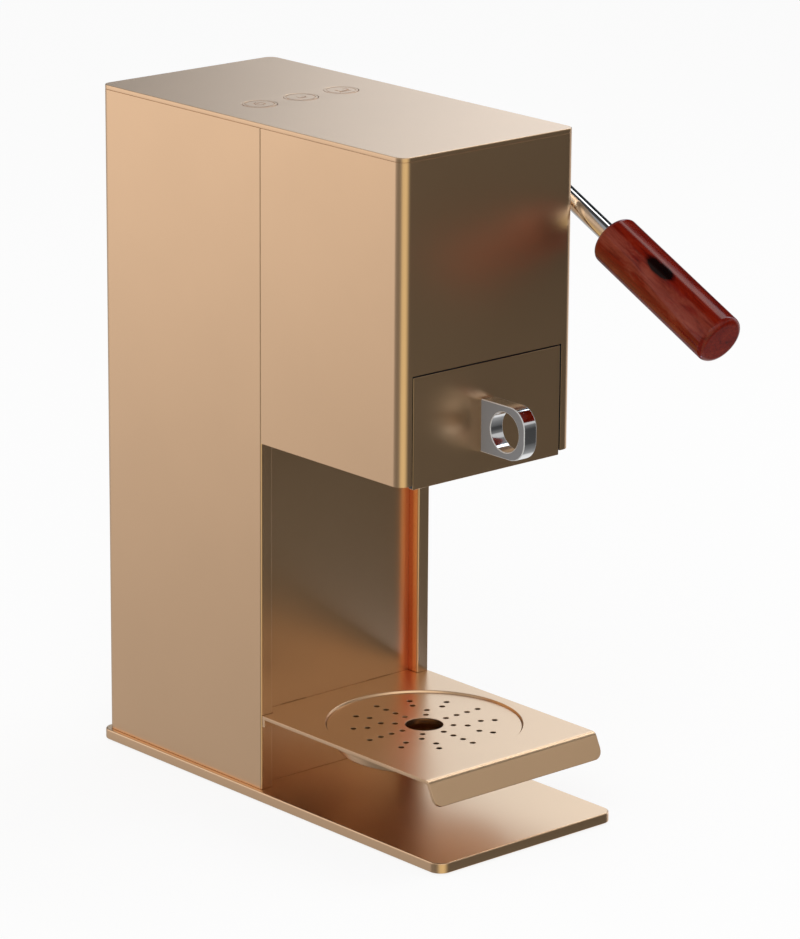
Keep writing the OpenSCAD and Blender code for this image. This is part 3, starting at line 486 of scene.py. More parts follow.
def bump(tree, shader, value, strength, distance):
    """Fine relief on a shader, its distance in metres."""
    node = tree.nodes.new("ShaderNodeBump")
    node.inputs["Strength"].default_value = strength
    node.inputs["Distance"].default_value = distance
    tree.links.new(value, node.inputs["Height"])
    tree.links.new(node.outputs["Normal"], shader.inputs["Normal"])


def metal(name, colour, rough, vary, grain, grain_scale, cloud, brushed=(1.0, 1.0, 1.0)):
    """A metal with clouded colour, uneven gloss and a fine grain."""
    mat, tree, shader, where = start(name)
    shader.inputs["Metallic"].default_value = 1.0
    dark = tuple(c * (1 - cloud) for c in colour)
    light = tuple(min(1.0, c * (1 + cloud)) for c in colour)
    tint = ramp(tree, noise(tree, where, 22.0, 3.0), [(0.3, dark), (0.7, light)])
    tree.links.new(tint, shader.inputs["Base Color"])
    fine = noise(tree, stretch(tree, where, brushed), grain_scale, 2.0)
    gloss = spread(tree, fine, rough - vary, rough + vary)
    tree.links.new(gloss, shader.inputs["Roughness"])
    bump(tree, shader, fine, grain, 0.00002)
    return mat


def plastic(name, dark, light, rough, scale, strength, spec=0.5):
    """Moulded plastic or rubber with a fine texture."""
    mat, tree, shader, where = start(name)
    shader.inputs["Specular IOR Level"].default_value = spec
    tint = ramp(tree, noise(tree, where, 60.0, 3.0), [(0.3, dark), (0.7, light)])
    tree.links.new(tint, shader.inputs["Base Color"])
    fine = noise(tree, where, scale, 2.0)
    gloss = spread(tree, fine, rough - 0.05, rough + 0.05)
    tree.links.new(gloss, shader.inputs["Roughness"])
    bump(tree, shader, fine, strength, 0.0001)
    return mat


ROSE = metal("rose_metal", (0.745, 0.491, 0.290), 0.30, 0.02, 0.04, 2600.0, 0.012)
CHROME = metal("chrome", (0.84, 0.845, 0.85), 0.07, 0.015, 0.02, 900.0, 0.01)
STEEL = metal("brushed_steel", (0.62, 0.62, 0.61), 0.32, 0.05, 0.20, 1500.0, 0.03, (1.0, 0.05, 1.0))
CAST = metal("cast_frame", (0.42, 0.43, 0.44), 0.48, 0.06, 0.50, 700.0, 0.05)
BRONZE = metal("bronze", (0.62, 0.42, 0.20), 0.30, 0.05, 0.20, 1200.0, 0.05)
RUBBER = plastic("rubber", (0.012, 0.012, 0.012), (0.022, 0.022, 0.022), 0.75, 1500.0, 0.4, 0.3)
BLACK = plastic("black_plastic", (0.014, 0.014, 0.015), (0.024, 0.024, 0.025), 0.42, 2200.0, 0.3)


def make_silicone():
    """Pale hose rubber that light enters a little."""
    mat = plastic("silicone", (0.62, 0.62, 0.60), (0.70, 0.70, 0.68), 0.38, 900.0, 0.15)
    shader = mat.node_tree.nodes["Principled BSDF"]
    shader.inputs["Subsurface Weight"].default_value = 0.25
    shader.inputs["Subsurface Radius"].default_value = (0.002, 0.002, 0.0018)
    return mat


def make_board():
    """Green circuit board with a pattern of tracks."""
    mat, tree, shader, where = start("board")
    tracks = tree.nodes.new("ShaderNodeTexBrick")
    tracks.inputs["Scale"].default_value = 160.0
    tracks.inputs["Color1"].default_value = (0.010, 0.075, 0.035, 1.0)
    tracks.inputs["Color2"].default_value = (0.014, 0.095, 0.045, 1.0)
    tracks.inputs["Mortar"].default_value = (0.035, 0.19, 0.09, 1.0)
    tracks.inputs["Mortar Size"].default_value = 0.03
    tree.links.new(where, tracks.inputs["Vector"])
    tree.links.new(tracks.outputs["Color"], shader.inputs["Base Color"])
    shader.inputs["Roughness"].default_value = 0.4
    bump(tree, shader, tracks.outputs["Fac"], 0.3, 0.0001)
    return mat


def make_tank_plastic():
    """Smoky clear plastic."""
    mat, tree, shader, where = start("tank_plastic")
    smoke = [(0.3, (0.30, 0.32, 0.34)), (0.7, (0.36, 0.38, 0.40))]
    tint = ramp(tree, noise(tree, where, 18.0), smoke)
    tree.links.new(tint, shader.inputs["Base Color"])
    shader.inputs["Transmission Weight"].default_value = 0.55
    shader.inputs["IOR"].default_value = 1.49
    gloss = spread(tree, noise(tree, where, 500.0), 0.10, 0.18)
    tree.links.new(gloss, shader.inputs["Roughness"])
    return mat


def make_satin():
    """Bead-blasted nickel: a soft neutral grey."""
    mat = metal("satin_nickel", (0.212, 0.213, 0.218), 0.45, 0.03, 0.10, 2400.0, 0.03)
    shader = mat.node_tree.nodes["Principled BSDF"]
    shader.inputs["Metallic"].default_value = 0.0
    shader.inputs["Specular IOR Level"].default_value = 0.1
    return mat


def make_edge_highlight():
    """Broken edge of the pull: a pale, soft finish as a painted highlight along the edge."""
    mat = metal("painted_edge_highlight", (0.60, 0.60, 0.60), 0.35, 0.03, 0.05, 2400.0, 0.02)
    mat.node_tree.nodes["Principled BSDF"].inputs["Metallic"].default_value = 0.3
    return mat


def towards(tree, where, angle):
    """How far a point lies out in one direction round the handle's axis, in metres."""
    split = tree.nodes.new("ShaderNodeSeparateXYZ")
    turned = stretch(tree, where, (1.0, 1.0, 1.0), (0.0, 0.0, -angle))
    tree.links.new(turned, split.inputs["Vector"])
    return split.outputs["X"]


def make_wood():
    """Polished red-brown wood with a painted sheen along one side, a dark knot and grain along the
    handle's axis.
    """
    mat, tree, shader, where = start("rosewood")
    figure = noise(tree, stretch(tree, where, (1.0, 1.0, 0.45)), 75.0, 5.0, 0.62, 1.6)
    tint = ramp(tree, figure, [
        (0.26, (0.045, 0.002, 0.001)),
        (0.38, (0.115, 0.004, 0.001)),
        (0.52, (0.140, 0.006, 0.001)),
        (0.64, (0.160, 0.011, 0.003)),
        (0.78, (0.210, 0.030, 0.010)),
    ])
    # Painted sheen: a paler band along one side stands for a soft reflection, its ragged edge following
    # the wood's figure
    side = towards(tree, where, SHEEN_ANGLE)
    ragged = noise(tree, stretch(tree, where, (1.0, 1.0, 0.35)), 210.0, 4.0, 0.6, 0.6)
    edge = tree.nodes.new("ShaderNodeMath")
    edge.operation = "MULTIPLY_ADD"
    edge.inputs[1].default_value = 0.006
    tree.links.new(ragged, edge.inputs[0])
    tree.links.new(side, edge.inputs[2])
    painted_sheen = spread(tree, edge.outputs["Value"], 0.0, 0.85, 0.0142, 0.0154)
    wood = blend(tree, "MIX", painted_sheen, tint, ramp(tree, figure, [
        (0.30, (0.150, 0.018, 0.007)),
        (0.55, (0.190, 0.032, 0.017)),
        (0.75, (0.240, 0.055, 0.030)),
    ]))
    grain = noise(tree, stretch(tree, where, (1.0, 1.0, 0.08), (0.35, 0.0, 0.0)), 900.0, 3.0)
    streak = ramp(tree, grain, [
        (0.32, (0.62, 0.50, 0.45)),
        (0.50, (1.0, 1.0, 1.0)),
        (0.70, (1.10, 1.35, 1.4)),
    ])
    wood = blend(tree, "MULTIPLY", 0.8, wood, streak)
    # Knot
    spot = tree.nodes.new("ShaderNodeMapping")
    spot.inputs["Scale"].default_value = [1.0 / (k * MM) for k in KNOT_SIZE]
    spot.inputs["Location"].default_value = [-c / k for c, k in zip(KNOT, KNOT_SIZE)]
    tree.links.new(where, spot.inputs["Vector"])
    ball = tree.nodes.new("ShaderNodeTexGradient")
    ball.gradient_type = "SPHERICAL"
    tree.links.new(spot.outputs["Vector"], ball.inputs["Vector"])
    uneven = tree.nodes.new("ShaderNodeMath")
    uneven.operation = "MULTIPLY"
    tree.links.new(ball.outputs["Fac"], uneven.inputs[0])
    tree.links.new(spread(tree, ragged, 0.5, 1.5), uneven.inputs[1])
    dark = ramp(tree, uneven.outputs["Value"], [
        (0.05, (1.0, 1.0, 1.0)),
        (0.22, (0.45, 0.35, 0.30)),
        (0.34, (0.03, 0.03, 0.03)),
    ])
    wood = blend(tree, "MULTIPLY", 1.0, wood, dark)
    tree.links.new(wood, shader.inputs["Base Color"])
    gloss = spread(tree, grain, 0.09, 0.13)
    tree.links.new(gloss, shader.inputs["Roughness"])
    shader.inputs["IOR"].default_value = 1.36
    shader.inputs["Specular Tint"].default_value = (1.0, 0.88, 0.84, 1.0)
    # The underside has lost its polish
    under = towards(tree, where, DULL_ANGLE)
    polish = spread(tree, under, 0.5, 0.08, 0.0112, 0.0123)
    tree.links.new(polish, shader.inputs["Specular IOR Level"])
    bump(tree, shader, grain, 0.08, 0.0001)
    return mat


def make_recess_shade():
    """The same metal with painted shade: paler orange near the strips, turning deep dark red towards the
    back of the recess.
    """
    mat = metal("rose_recess_shade", (0.745, 0.491, 0.287), 0.28, 0.02, 0.04, 2600.0, 0.012)
    tree = mat.node_tree
    shader = tree.nodes["Principled BSDF"]
    coords = tree.nodes.new("ShaderNodeTexCoord")
    split = tree.nodes.new("ShaderNodeSeparateXYZ")
    tree.links.new(coords.outputs["Object"], split.inputs["Vector"])
    # Painted shade by depth into the recess, from the strips' edge back to the panel
    depth = spread(tree, split.outputs["Y"], 0.0, 1.0, 0.0045, 0.0115)
    tint = ramp(tree, depth, [
        (0.10, (0.900, 0.480, 0.290)),
        (0.42, (0.840, 0.380, 0.200)),
        (0.62, (0.600, 0.180, 0.095)),
        (1.00, (0.560, 0.150, 0.080)),
    ])
    tree.links.new(tint, shader.inputs["Base Color"])
    return mat


SILICONE = make_silicone()
BOARD = make_board()
TANK = make_tank_plastic()
WOOD = make_wood()
SATIN = make_satin()
EDGE_HIGHLIGHT = make_edge_highlight()
RECESS_SHADE = make_recess_shade()

FINISH = {
    "rose_metal": ROSE,
    "chrome": CHROME,
    "steel": STEEL,
    "cast_frame": CAST,
    "bronze": BRONZE,
    "rubber": RUBBER,
    "black_plastic": BLACK,
    "silicone": SILICONE,
    "board": BOARD,
    "tank_plastic": TANK,
}


def dress_nodes():
    """Every solid that still shows gets its slot's material."""
    names = {
        "rose_metal": ("closing_strip", "button_left", "button_middle", "button_right"),
        "chrome": ("hub_screw",),
        "steel": ("base_brackets", "base_screws", "board_bracket", "boiler_bracket", "head_bolts",
                  "lever_shaft", "shaft_clip", "piston", "shower_plate", "drive_rack", "capsule_cup",
                  "drawer_deck", "drawer_rails", "feed_tube", "tank_shelf", "pull_screws"),
        "cast_frame": ("brew_frame", "boiler", "tray_bracket"),
        "bronze": ("drive_gear", "guide_bush", "shaft_bushes", "wall_bush", "inlet_pins"),
        "rubber": ("base_pad", "pump_mounts", "piston_seal"),
        "black_plastic": ("drawer_body", "outlet_spout", "power_inlet", "tank_dock", "tank_valve",
                          "switches", "pump"),
        "silicone": ("suction_hose", "pressure_hose"),
        "board": ("control_board",),
        "tank_plastic": ("tank_body",),
    }
    for slot, group in names.items():
        for name in group:
            ob = NODES[name]
            ob.data.materials.clear()
            ob.data.materials.append(FINISH[slot])


dress_nodes()


# Base plate

bm = bmesh.new()
plan = rounded(-BASE_HALF_W, -BASE_HALF_D, BASE_HALF_W, BASE_HALF_D, BASE_CORNER, 12)
prism(bm, [plan], BASE_Z, BASE_TOP, flat_z, 0.5, 0.7)
piece("base_plate_skin", bm, "housing", ROSE, ["base_plate"])


# Column: strips, returns, sides and rear in one bent sheet

def mirror_path(path):
    """The path's mirror image on the other side, in running order."""
    return [(-x, y) for x, y in reversed(path)]


def column_paths():
    """Outer and inner plan from the left strip's return round the rear to the right one."""
    r = STRIP_EDGE
    ri = CORNER - WALL
    left_out = [(-RECESS_X, PANEL_BACK)]
    left_in = [(-RECESS_X - WALL, PANEL_BACK)]
    left_out += arc(-RECESS_X - r, JOINT_Y + r, r, 0, -90, 4)
    left_in += [(-RECESS_X - WALL, JOINT_Y + WALL)] * 5
    left_out += arc(-HALF_W + r, JOINT_Y + r, r, 270, 180, 4)
    left_in += [(-HALF_W + WALL, JOINT_Y + WALL)] * 5
    left_out += arc(-HALF_W + CORNER, REAR_Y - CORNER, CORNER, 180, 90, 10)
    left_in += arc(-HALF_W + CORNER, REAR_Y - CORNER, ri, 180, 90, 10)
    for x in (-BAY_HALF, -VENT_HALF, -INLET_HALF):
        left_out.append((x, REAR_Y))
        left_in.append((x, REAR_Y - WALL))
    return left_out + mirror_path(left_out), left_in + mirror_path(left_in)


COLUMN_LEVELS = [BASE_TOP, INLET_LOW, INLET_HIGH]
for i in range(VENTS):
    COLUMN_LEVELS += [VENT_LOW + VENT_STEP * i, VENT_HIGH + VENT_STEP * i]
COLUMN_LEVELS += [BAY_LOW, BAY_HIGH, SHELL_TOP]
COLUMN_OUT, COLUMN_IN = column_paths()


def column_gone(i, k):
    """Bay of the tank, socket of the inlet and the vents."""
    x = (COLUMN_OUT[i][0] + COLUMN_OUT[i + 1][0]) / 2
    y = (COLUMN_OUT[i][1] + COLUMN_OUT[i + 1][1]) / 2
    z = (COLUMN_LEVELS[k] + COLUMN_LEVELS[k + 1]) / 2
    if y < REAR_Y - 0.01:
        return False
    if abs(x) < BAY_HALF and BAY_LOW < z < BAY_HIGH:
        return True
    if abs(x) < INLET_HALF and INLET_LOW < z < INLET_HIGH:
        return True
    for j in range(VENTS):
        if abs(x) < VENT_HALF and VENT_LOW + VENT_STEP * j < z < VENT_HIGH + VENT_STEP * j:
            return True
    return False


bm = bmesh.new()
sheet(bm, COLUMN_OUT, COLUMN_IN, COLUMN_LEVELS, column_gone)
column = piece("column_skin", bm, "housing", ROSE, ["column_shell"], 0.3)
# The return walls behind the strips get the painted shade of the recess
column.data.materials.append(RECESS_SHADE)
for face in column.data.polygons:
    on_return = abs(abs(face.center.x) - RECESS_X * MM) < 0.1 * MM
    if on_return and face.center.y > (JOINT_Y + STRIP_EDGE) * MM and abs(face.normal.x) > 0.99:
        face.material_index = 1


# Head: a bent sheet with an opening for the drawer and flanges below and behind

def head_paths():
    """Outer and inner plan from the joint on the left round the front to the right."""
    ri = CORNER - WALL
    out = [(-HALF_W, JOINT_Y), (-HALF_W, PIVOT_Y + SHAFT_CELL), (-HALF_W, PIVOT_Y - SHAFT_CELL)]
    ins = [(-HALF_W + WALL, y) for x, y in out]
    out += arc(-HALF_W + CORNER, HEAD_Y + CORNER, CORNER, 180, 270, 12)
    ins += arc(-HALF_W + CORNER, HEAD_Y + CORNER, ri, 180, 270, 12)
    out.append((-OPEN_X, HEAD_Y))
    ins.append((-OPEN_X, HEAD_Y + WALL))
    return out + mirror_path(out), ins + mirror_path(ins)


HEAD_OUT, HEAD_IN = head_paths()
HEAD_LEVELS = [HEAD_Z, OPEN_Z, PIVOT_Z - SHAFT_CELL, PIVOT_Z + SHAFT_CELL, SHELL_TOP]


def head_gone(i, k):
    """Opening of the drawer."""
    x = (HEAD_OUT[i][0] + HEAD_OUT[i + 1][0]) / 2
    return abs(x) < OPEN_X and k == 0 and HEAD_OUT[i][1] < HEAD_Y + 0.01


def head_flanges(bm, s):
    """Flanges below and behind on the side s, sunk into the walls by a part of their thickness."""
    sunk = WALL * 0.6
    back = JOINT_Y - 0.1
    low = [(s * OPEN_X, back), (s * OPEN_X, HEAD_Y + sunk)]
    low += arc(s * (HALF_W - CORNER), HEAD_Y + CORNER, CORNER - sunk, 270, 270 + s * 90, 6)
    low += [(s * (HALF_W - sunk), back)]
    prism(bm, [low if s > 0 else hole(low)], HEAD_Z + 0.1, HEAD_Z + WALL, flat_z)
    near = s * FLANGE_IN
    far = s * FLANGE_OUT
    rear = [(near, JOINT_Y - WALL), (far, JOINT_Y - WALL), (far, back), (near, back)]
    prism(bm, [rear if s > 0 else hole(rear)], HEAD_Z + 0.2, SHELL_TOP - 0.1, flat_z)


def rims_opening(c, n):
    """Whether a face is an edge of the drawer's opening."""
    if abs(n.y) >= 0.1 or c.y >= (HEAD_Y + WALL) * MM:
        return False
    return abs(c.x) < (OPEN_X + 0.05) * MM and c.z < (OPEN_Z + 0.05) * MM


bm = bmesh.new()
shaft_cell = (len(HEAD_OUT) - 3, 2)
sheet(bm, HEAD_OUT, HEAD_IN, HEAD_LEVELS, head_gone, [(*shaft_cell, PIVOT_Y, PIVOT_Z, SHAFT_HOLE_R)])
head_flanges(bm, -1)
head_flanges(bm, 1)
head = piece("head_skin", bm, "housing", ROSE, ["head_shell"], 0.3)
# The rims of the drawer's opening get the black material as painted shade in the gap
paint_gap_shade(head, rims_opening)


# Top cover with the holes of the three buttons

bm = bmesh.new()
loops = [rounded(-HALF_W, HEAD_Y, HALF_W, REAR_Y, CORNER, 12)]
for x in BUTTON_X:
    loops.append(hole(circle(x, BUTTON_Y, BUTTON_HOLE_R, 64)))
prism(bm, loops, SHELL_TOP, COVER_TOP, flat_z, 0.3, 0.45)
for s in (-1, 1):
    for y0, y1 in ((HEAD_Y + 14, JOINT_Y - 8), (21.1, REAR_Y - 14)):
        x0, x1 = sorted((s * RIB_IN, s * RIB_OUT))
        prism(bm, [[(x0, y0), (x1, y0), (x1, y1), (x0, y1)]], SHELL_TOP - 2, SHELL_TOP + 0.5, flat_z)
piece("top_cover_skin", bm, "housing", ROSE, ["top_cover"])


# Recessed panel with the slots of the tray's tongues

bm = bmesh.new()
loops = [rounded(-RECESS_X, BASE_TOP, RECESS_X, PANEL_TOP, 0.4, 2)]
for x in (-SLOT_X, SLOT_X):
    loops.append(hole(rounded(x - SLOT_HALF, SLOT_LOW, x + SLOT_HALF, SLOT_HIGH, 0.4, 3)))
prism(bm, loops, -PANEL_BACK, -PANEL_Y, flat_y)
piece("recess_panel", bm, "housing", ROSE, ["column_front_panel"], 0.2)


# Capsule drawer: front plate and pull

bm = bmesh.new()
front = rounded(DRAWER_LEFT, DRAWER_LOW, DRAWER_RIGHT, DRAWER_HIGH, 0.4, 3)
prism(bm, [front], -DRAWER_BACK, -HEAD_Y, flat_y, 0.2, 0.15)
plate = piece("drawer_plate", bm, "capsule_drawer", ROSE, ["drawer_front"])
# Painted shade in the gap: all edges but the lower one, which lies below the head, get the black material
paint_gap_shade(plate, lambda c, n: abs(n.y) < 0.1 and c.z > (HEAD_Z + 1.2) * MM)

bm = bmesh.new()
foot = HEAD_Y + 1.4
outline = [(foot, PULL_Z - PULL_HALF_H), (foot, PULL_Z + PULL_HALF_H)]
outline += arc(PULL_CORNER_Y, PULL_Z + PULL_CORNER_Z, PULL_CORNER, 90, 180, 12)
outline += arc(PULL_CORNER_Y, PULL_Z - PULL_CORNER_Z, PULL_CORNER, 180, 270, 12)
finger = hole(circle(PULL_HOLE_Y, PULL_Z, PULL_HOLE_R, 64))
prism(bm, [outline, finger], -PULL_HALF_W, PULL_HALF_W, flat_x, 0.4, 0.4)
pull = piece("pull", bm, "capsule_drawer", CHROME, ["pull_ring"])
pull.data.materials.append(SATIN)
pull.data.materials.append(EDGE_HIGHLIGHT)
# Flat sides are satin, their broken edges get the painted highlight, the rim and the hole stay polished
for face in pull.data.polygons:
    if abs(face.normal.x) > 0.999:
        face.material_index = 1
    elif abs(face.normal.x) > 0.2:
        face.material_index = 2


# Lever: hub, rod and wooden handle along their own axis

LEVER_AXIS = Vector((0.0, -math.cos(LEVER_ANGLE), -math.sin(LEVER_ANGLE)))
LEVER_SIDE = Vector((1.0, 0.0, 0.0))
LEVER_UP = LEVER_AXIS.cross(LEVER_SIDE)
LEVER_FRAME = Matrix((
    (LEVER_SIDE.x, LEVER_UP.x, LEVER_AXIS.x, PIVOT_X * MM),
    (LEVER_SIDE.y, LEVER_UP.y, LEVER_AXIS.y, PIVOT_Y * MM),
    (LEVER_SIDE.z, LEVER_UP.z, LEVER_AXIS.z, PIVOT_Z * MM),
    (0.0, 0.0, 0.0, 1.0),
))


def round_end(profile, r, w, e, up, n=6):
    """Adds a rounded edge of radius e at radius r and height w."""
    for i in range(n + 1):
        a = math.radians(90.0 * i / n)
        if up:
            profile.append((r - e * (1 - math.cos(a)), w - e * (1 - math.sin(a))))
        else:
            profile.append((r - e * (1 - math.sin(a)), w + e * (1 - math.cos(a))))


def at_pivot(u, v, w):
    """A plan across the lever's shaft, at w along it."""
    return (w, PIVOT_Y + u, PIVOT_Z + v)


profile = [(HUB_BORE, HUB_IN)]
round_end(profile, HUB_R, HUB_IN, HUB_EDGE, False)
round_end(profile, HUB_R, HUB_OUT, HUB_EDGE, True)
profile.append((HUB_BORE, HUB_OUT))
bm = bmesh.new()
turn(bm, profile, at_pivot, LEVER_SIDES)
piece("hub", bm, "lever", CHROME, ["lever_hub"])

profile = [(0.0, ROD_START), (ROD_R, ROD_START), (ROD_R, ROD_RING), (ROD_R, ROD_END), (0.0, ROD_END)]
bm = bmesh.new()
turn(bm, profile, flat_z, ROD_SIDES)
piece("rod", bm, "lever", CHROME, ["lever_rod"], 0.3, frame_matrix=LEVER_FRAME)

bore_r = ROD_R + 0.05
bore_end = ROD_END + 0.1
profile = [(bore_r, bore_end), (bore_r, GRIP_START + 0.5), (ROD_R + 0.5, GRIP_START)]
round_end(profile, GRIP_R, GRIP_START, GRIP_EDGE, False, 8)
profile += [(GRIP_R, w) for w in GRIP_RINGS]
round_end(profile, GRIP_R, GRIP_END, GRIP_EDGE, True, 8)
profile += [(6.0, GRIP_END), (0.0, GRIP_END), (0.0, bore_end)]
bm = bmesh.new()
turn(bm, profile, flat_z, LEVER_SIDES)
piece("handle", bm, "lever", WOOD, ["lever_handle"], frame_matrix=LEVER_FRAME)


# Drip tray: plate, bent lip, ring, ledge and rear flanges, then the bowl under it

def tray_outline(front, stations):
    """Plan of the plate behind the bend, counter-clockwise from the front left."""
    loop = [(x, front) for x in stations]
    # Shoulder, the part that passes between the strips, and a tongue
    right = [(TRAY_HALF, SHOULDER_Y), (PASS_HALF, SHOULDER_Y), (PASS_HALF, PASS_Y), (TONGUE_OUT, PASS_Y)]
    right += [(TONGUE_OUT, TONGUE_Y), (TONGUE_IN, TONGUE_Y), (TONGUE_IN, PASS_Y)]
    loop += right + mirror_path(right)
    return loop


def at_bowl(u, v, w):
    """A plan round the bowl's axis, at height w."""
    return (u, BREW_Y + v, w)


def bowl_ring(bm, r, z):
    """A ring of vertices round the bowl's axis."""
    return [bm.verts.new(at_bowl(x, y, z)) for x, y in circle(0, 0, r, BOWL_SIDES)]


def tray_plate(bm, marks):
    """Flat plate with the recess, the ledge and the ring, turned about the bowl's axis."""
    edge = RECESS_EDGE
    part = edge * EDGE_SHARE
    plan = tray_outline(TRAY_FRONT + BEND_REACH, [TRAY_HALF * t for t in marks])
    upper = [bm.verts.new((x, y, TRAY_TOP)) for x, y in plan]
    lower = [bm.verts.new((x, y, TRAY_UNDER)) for x, y in plan]
    n = len(upper)
    for i in range(len(marks) - 1, n):
        m = (i + 1) % n
        bm.faces.new((upper[i], lower[i], lower[m], upper[m]))
    rows = [(RECESS_R + edge, TRAY_TOP), (RECESS_R + part, TRAY_TOP - part), (RECESS_R, TRAY_TOP - edge)]
    rows += [(SEAT_R, RECESS_FOOT), (SEAT_R, SEAT_Z), (LEDGE_R, SEAT_Z)]
    rows += [(LEDGE_R, SEAT_Z - LEDGE_SHEET), (RING_R, SEAT_Z - LEDGE_SHEET), (RING_R, TRAY_UNDER)]
    rings = [bowl_ring(bm, r, z) for r, z in rows]
    for one, two in zip(rings, rings[1:]):
        band(bm, one, two)
    fill(bm, [upper, rings[0]], False)
    fill(bm, [lower, rings[-1]], True)


def tray_lip(bm, marks):
    """Bend and leaning lip with rounded lower corners."""
    lean = math.radians(LIP_LEAN)
    cy = TRAY_FRONT + (BEND_R - TRAY_SHEET) * (1 - math.sin(lean)) / math.cos(lean)
    cz = TRAY_TOP - BEND_R
    start_y = TRAY_FRONT + BEND_REACH
    out = [(start_y, TRAY_TOP)] + arc(cy, cz, BEND_R, 90, 180 - LIP_LEAN, 10)
    ins = [(start_y, TRAY_UNDER)] + arc(cy, cz, BEND_R - TRAY_SHEET, 90, 180 - LIP_LEAN, 10)
    uy, uz = -math.sin(lean), -math.cos(lean)
    ny, nz = -math.cos(lean), math.sin(lean)
    straight = LIP_LENGTH - LIP_CORNER
    turns = [math.radians(a) for a in (18, 36, 54, 72, 90)]
    steps = [3.0, straight] + [straight + LIP_CORNER * math.sin(a) for a in turns]
    widths = [TRAY_HALF] * (len(out) + 2)
    widths += [TRAY_HALF - LIP_CORNER + LIP_CORNER * math.cos(a) for a in turns]
    for d in steps:
        out.append((TRAY_FRONT + ny * TRAY_SHEET + uy * d, TRAY_UNDER + nz * TRAY_SHEET + uz * d))
        ins.append((TRAY_FRONT + uy * d, TRAY_UNDER + uz * d))
    a = []
    b = []
    for (oy, oz), (iy, iz), w in zip(out, ins, widths):
        a.append([bm.verts.new((w * t, oy, oz)) for t in marks])
        b.append([bm.verts.new((w * t, iy, iz)) for t in marks])
    last = len(marks) - 1
    for j in range(len(out) - 1):
        for i in range(last):
            bm.faces.new((a[j][i], a[j][i + 1], a[j + 1][i + 1], a[j + 1][i]))
            bm.faces.new((b[j][i], b[j + 1][i], b[j + 1][i + 1], b[j][i + 1]))
        bm.faces.new((a[j][0], a[j + 1][0], b[j + 1][0], b[j][0]))
        bm.faces.new((a[j][last], b[j][last], b[j + 1][last], a[j + 1][last]))
    for i in range(last):
        bm.faces.new((a[-1][i], a[-1][i + 1], b[-1][i + 1], b[-1][i]))


def make_tray():
    """Plate, bend and lip in one piece with the flanges under the shoulders."""
    bm = bmesh.new()
    marks = [i / 12 - 1 for i in range(25)]
    tray_plate(bm, marks)
    tray_lip(bm, marks)
    for s in (-1, 1):
        x0, x1 = sorted((s * 47.5, s * 54.6))
        block = [(x0, 2.3), (x1, 2.3), (x1, 4.15), (x0, 4.15)]
        prism(bm, [block], 38.8, 43.6, flat_z)
    piece("tray", bm, "drip_tray", ROSE, ["tray_plate"], 0.3, 40.0)


make_tray()

profile = [(0.0, 32.8), (42.4, 32.8), (43.1, 33.0), (43.5, 33.5), (43.7, 36.0), (43.9, 38.3)]
profile += [(48.3, 38.5), (48.3, 39.38), (42.4, 39.38), (42.2, 34.4), (41.8, 34.0), (0.0, 34.0)]
bm = bmesh.new()
turn(bm, profile, at_bowl, BOWL_SIDES)
piece("bowl", bm, "drip_tray", ROSE, ["drip_bowl"], 0.2, 60.0)


# Drain plate with its finger hole and four rings of holes

def make_drain():
    """A flat plate whose edge slopes in like the wall of the tray's recess."""
    bm = bmesh.new()
    places = [(0.0, BREW_Y, DRAIN_HOLE_R, 48)]
    for k, count in enumerate(DRIP_COUNTS):
        r = DRAIN_HOLE_R + DRIP_ROW * (k + DRIP_FIRST_ROW)
        for i in range(count):
            a = 2 * math.pi * i / count
            places.append((r * math.cos(a), BREW_Y + r * math.sin(a), DRIP_HOLE_R, 16))
    edge = DRAIN_HOLE_EDGE
    part = EDGE_SHARE * edge
    levels = [(edge, DRAIN_TOP), (part, DRAIN_TOP - part), (0.0, DRAIN_TOP - edge), (0.0, SEAT_Z)]
    upper = []
    lower = []
    for x, y, r, n in places:
        rings = []
        for wider, z in levels:
            rings.append([bm.verts.new((u, v, z)) for u, v in hole(circle(x, y, r + wider, n))])
        for one, two in zip(rings, rings[1:]):
            band(bm, one, two)
        upper.append(rings[0])
        lower.append(rings[-1])
    rows = [(47.75, DRAIN_TOP), (47.9, DRAIN_TOP - 0.06), (47.95, DRAIN_TOP - 0.2)]
    rows += [(47.2, 41.3), (47.2, SEAT_Z)]
    rings = [bowl_ring(bm, r, z) for r, z in rows]
    for one, two in zip(rings, rings[1:]):
        band(bm, one, two)
    fill(bm, [rings[0]] + upper, False)
    fill(bm, [rings[-1]] + lower, True)
    piece("drain_cover", bm, "drain", ROSE, ["drain_plate"])


make_drain()


# Rear door of the tank with its finger pocket

bm = bmesh.new()
mouth = rounded(-POCKET_HALF, POCKET_LOW, POCKET_HALF, POCKET_HIGH, 3.0, 6)
door = rounded(-DOOR_HALF, DOOR_LOW, DOOR_HALF, DOOR_HIGH, 2.0, 6)
prism(bm, [door, hole(mouth)], -REAR_Y, -DOOR_BACK, flat_y, 0.6, 0.3)
# Pocket: outer wall, inner wall and the rim between them, which is sunk into the door
half = POCKET_HALF + POCKET_WALL
around = rounded(-half, POCKET_LOW - POCKET_WALL, half, POCKET_HIGH + POCKET_WALL, 4.5, 6)
rim = DOOR_BACK + 0.1
rings = []
for loop, y in ((around, rim), (around, POCKET_FLOOR - POCKET_WALL), (mouth, POCKET_FLOOR), (mouth, rim)):
    rings.append([bm.verts.new((x, y, z)) for x, z in loop])
for one, two in ((0, 1), (2, 3), (3, 0)):
    band(bm, rings[one], rings[two])
fill(bm, [rings[1]], False)
fill(bm, [rings[2]], True)
piece("tank_cover", bm, "water_tank", ROSE, ["tank_door"])


# Soft edges on the solids that show from outside

for name, width in (("hub_screw", 0.35), ("outlet_spout", 0.4), ("power_inlet", 0.5),
                    ("button_left", 0.15), ("button_middle", 0.15), ("button_right", 0.15)):
    soften(NODES[name], width, 50)


# Studio: white world, pale floor with a brighter patch, a dome of soft boxes, two lamps

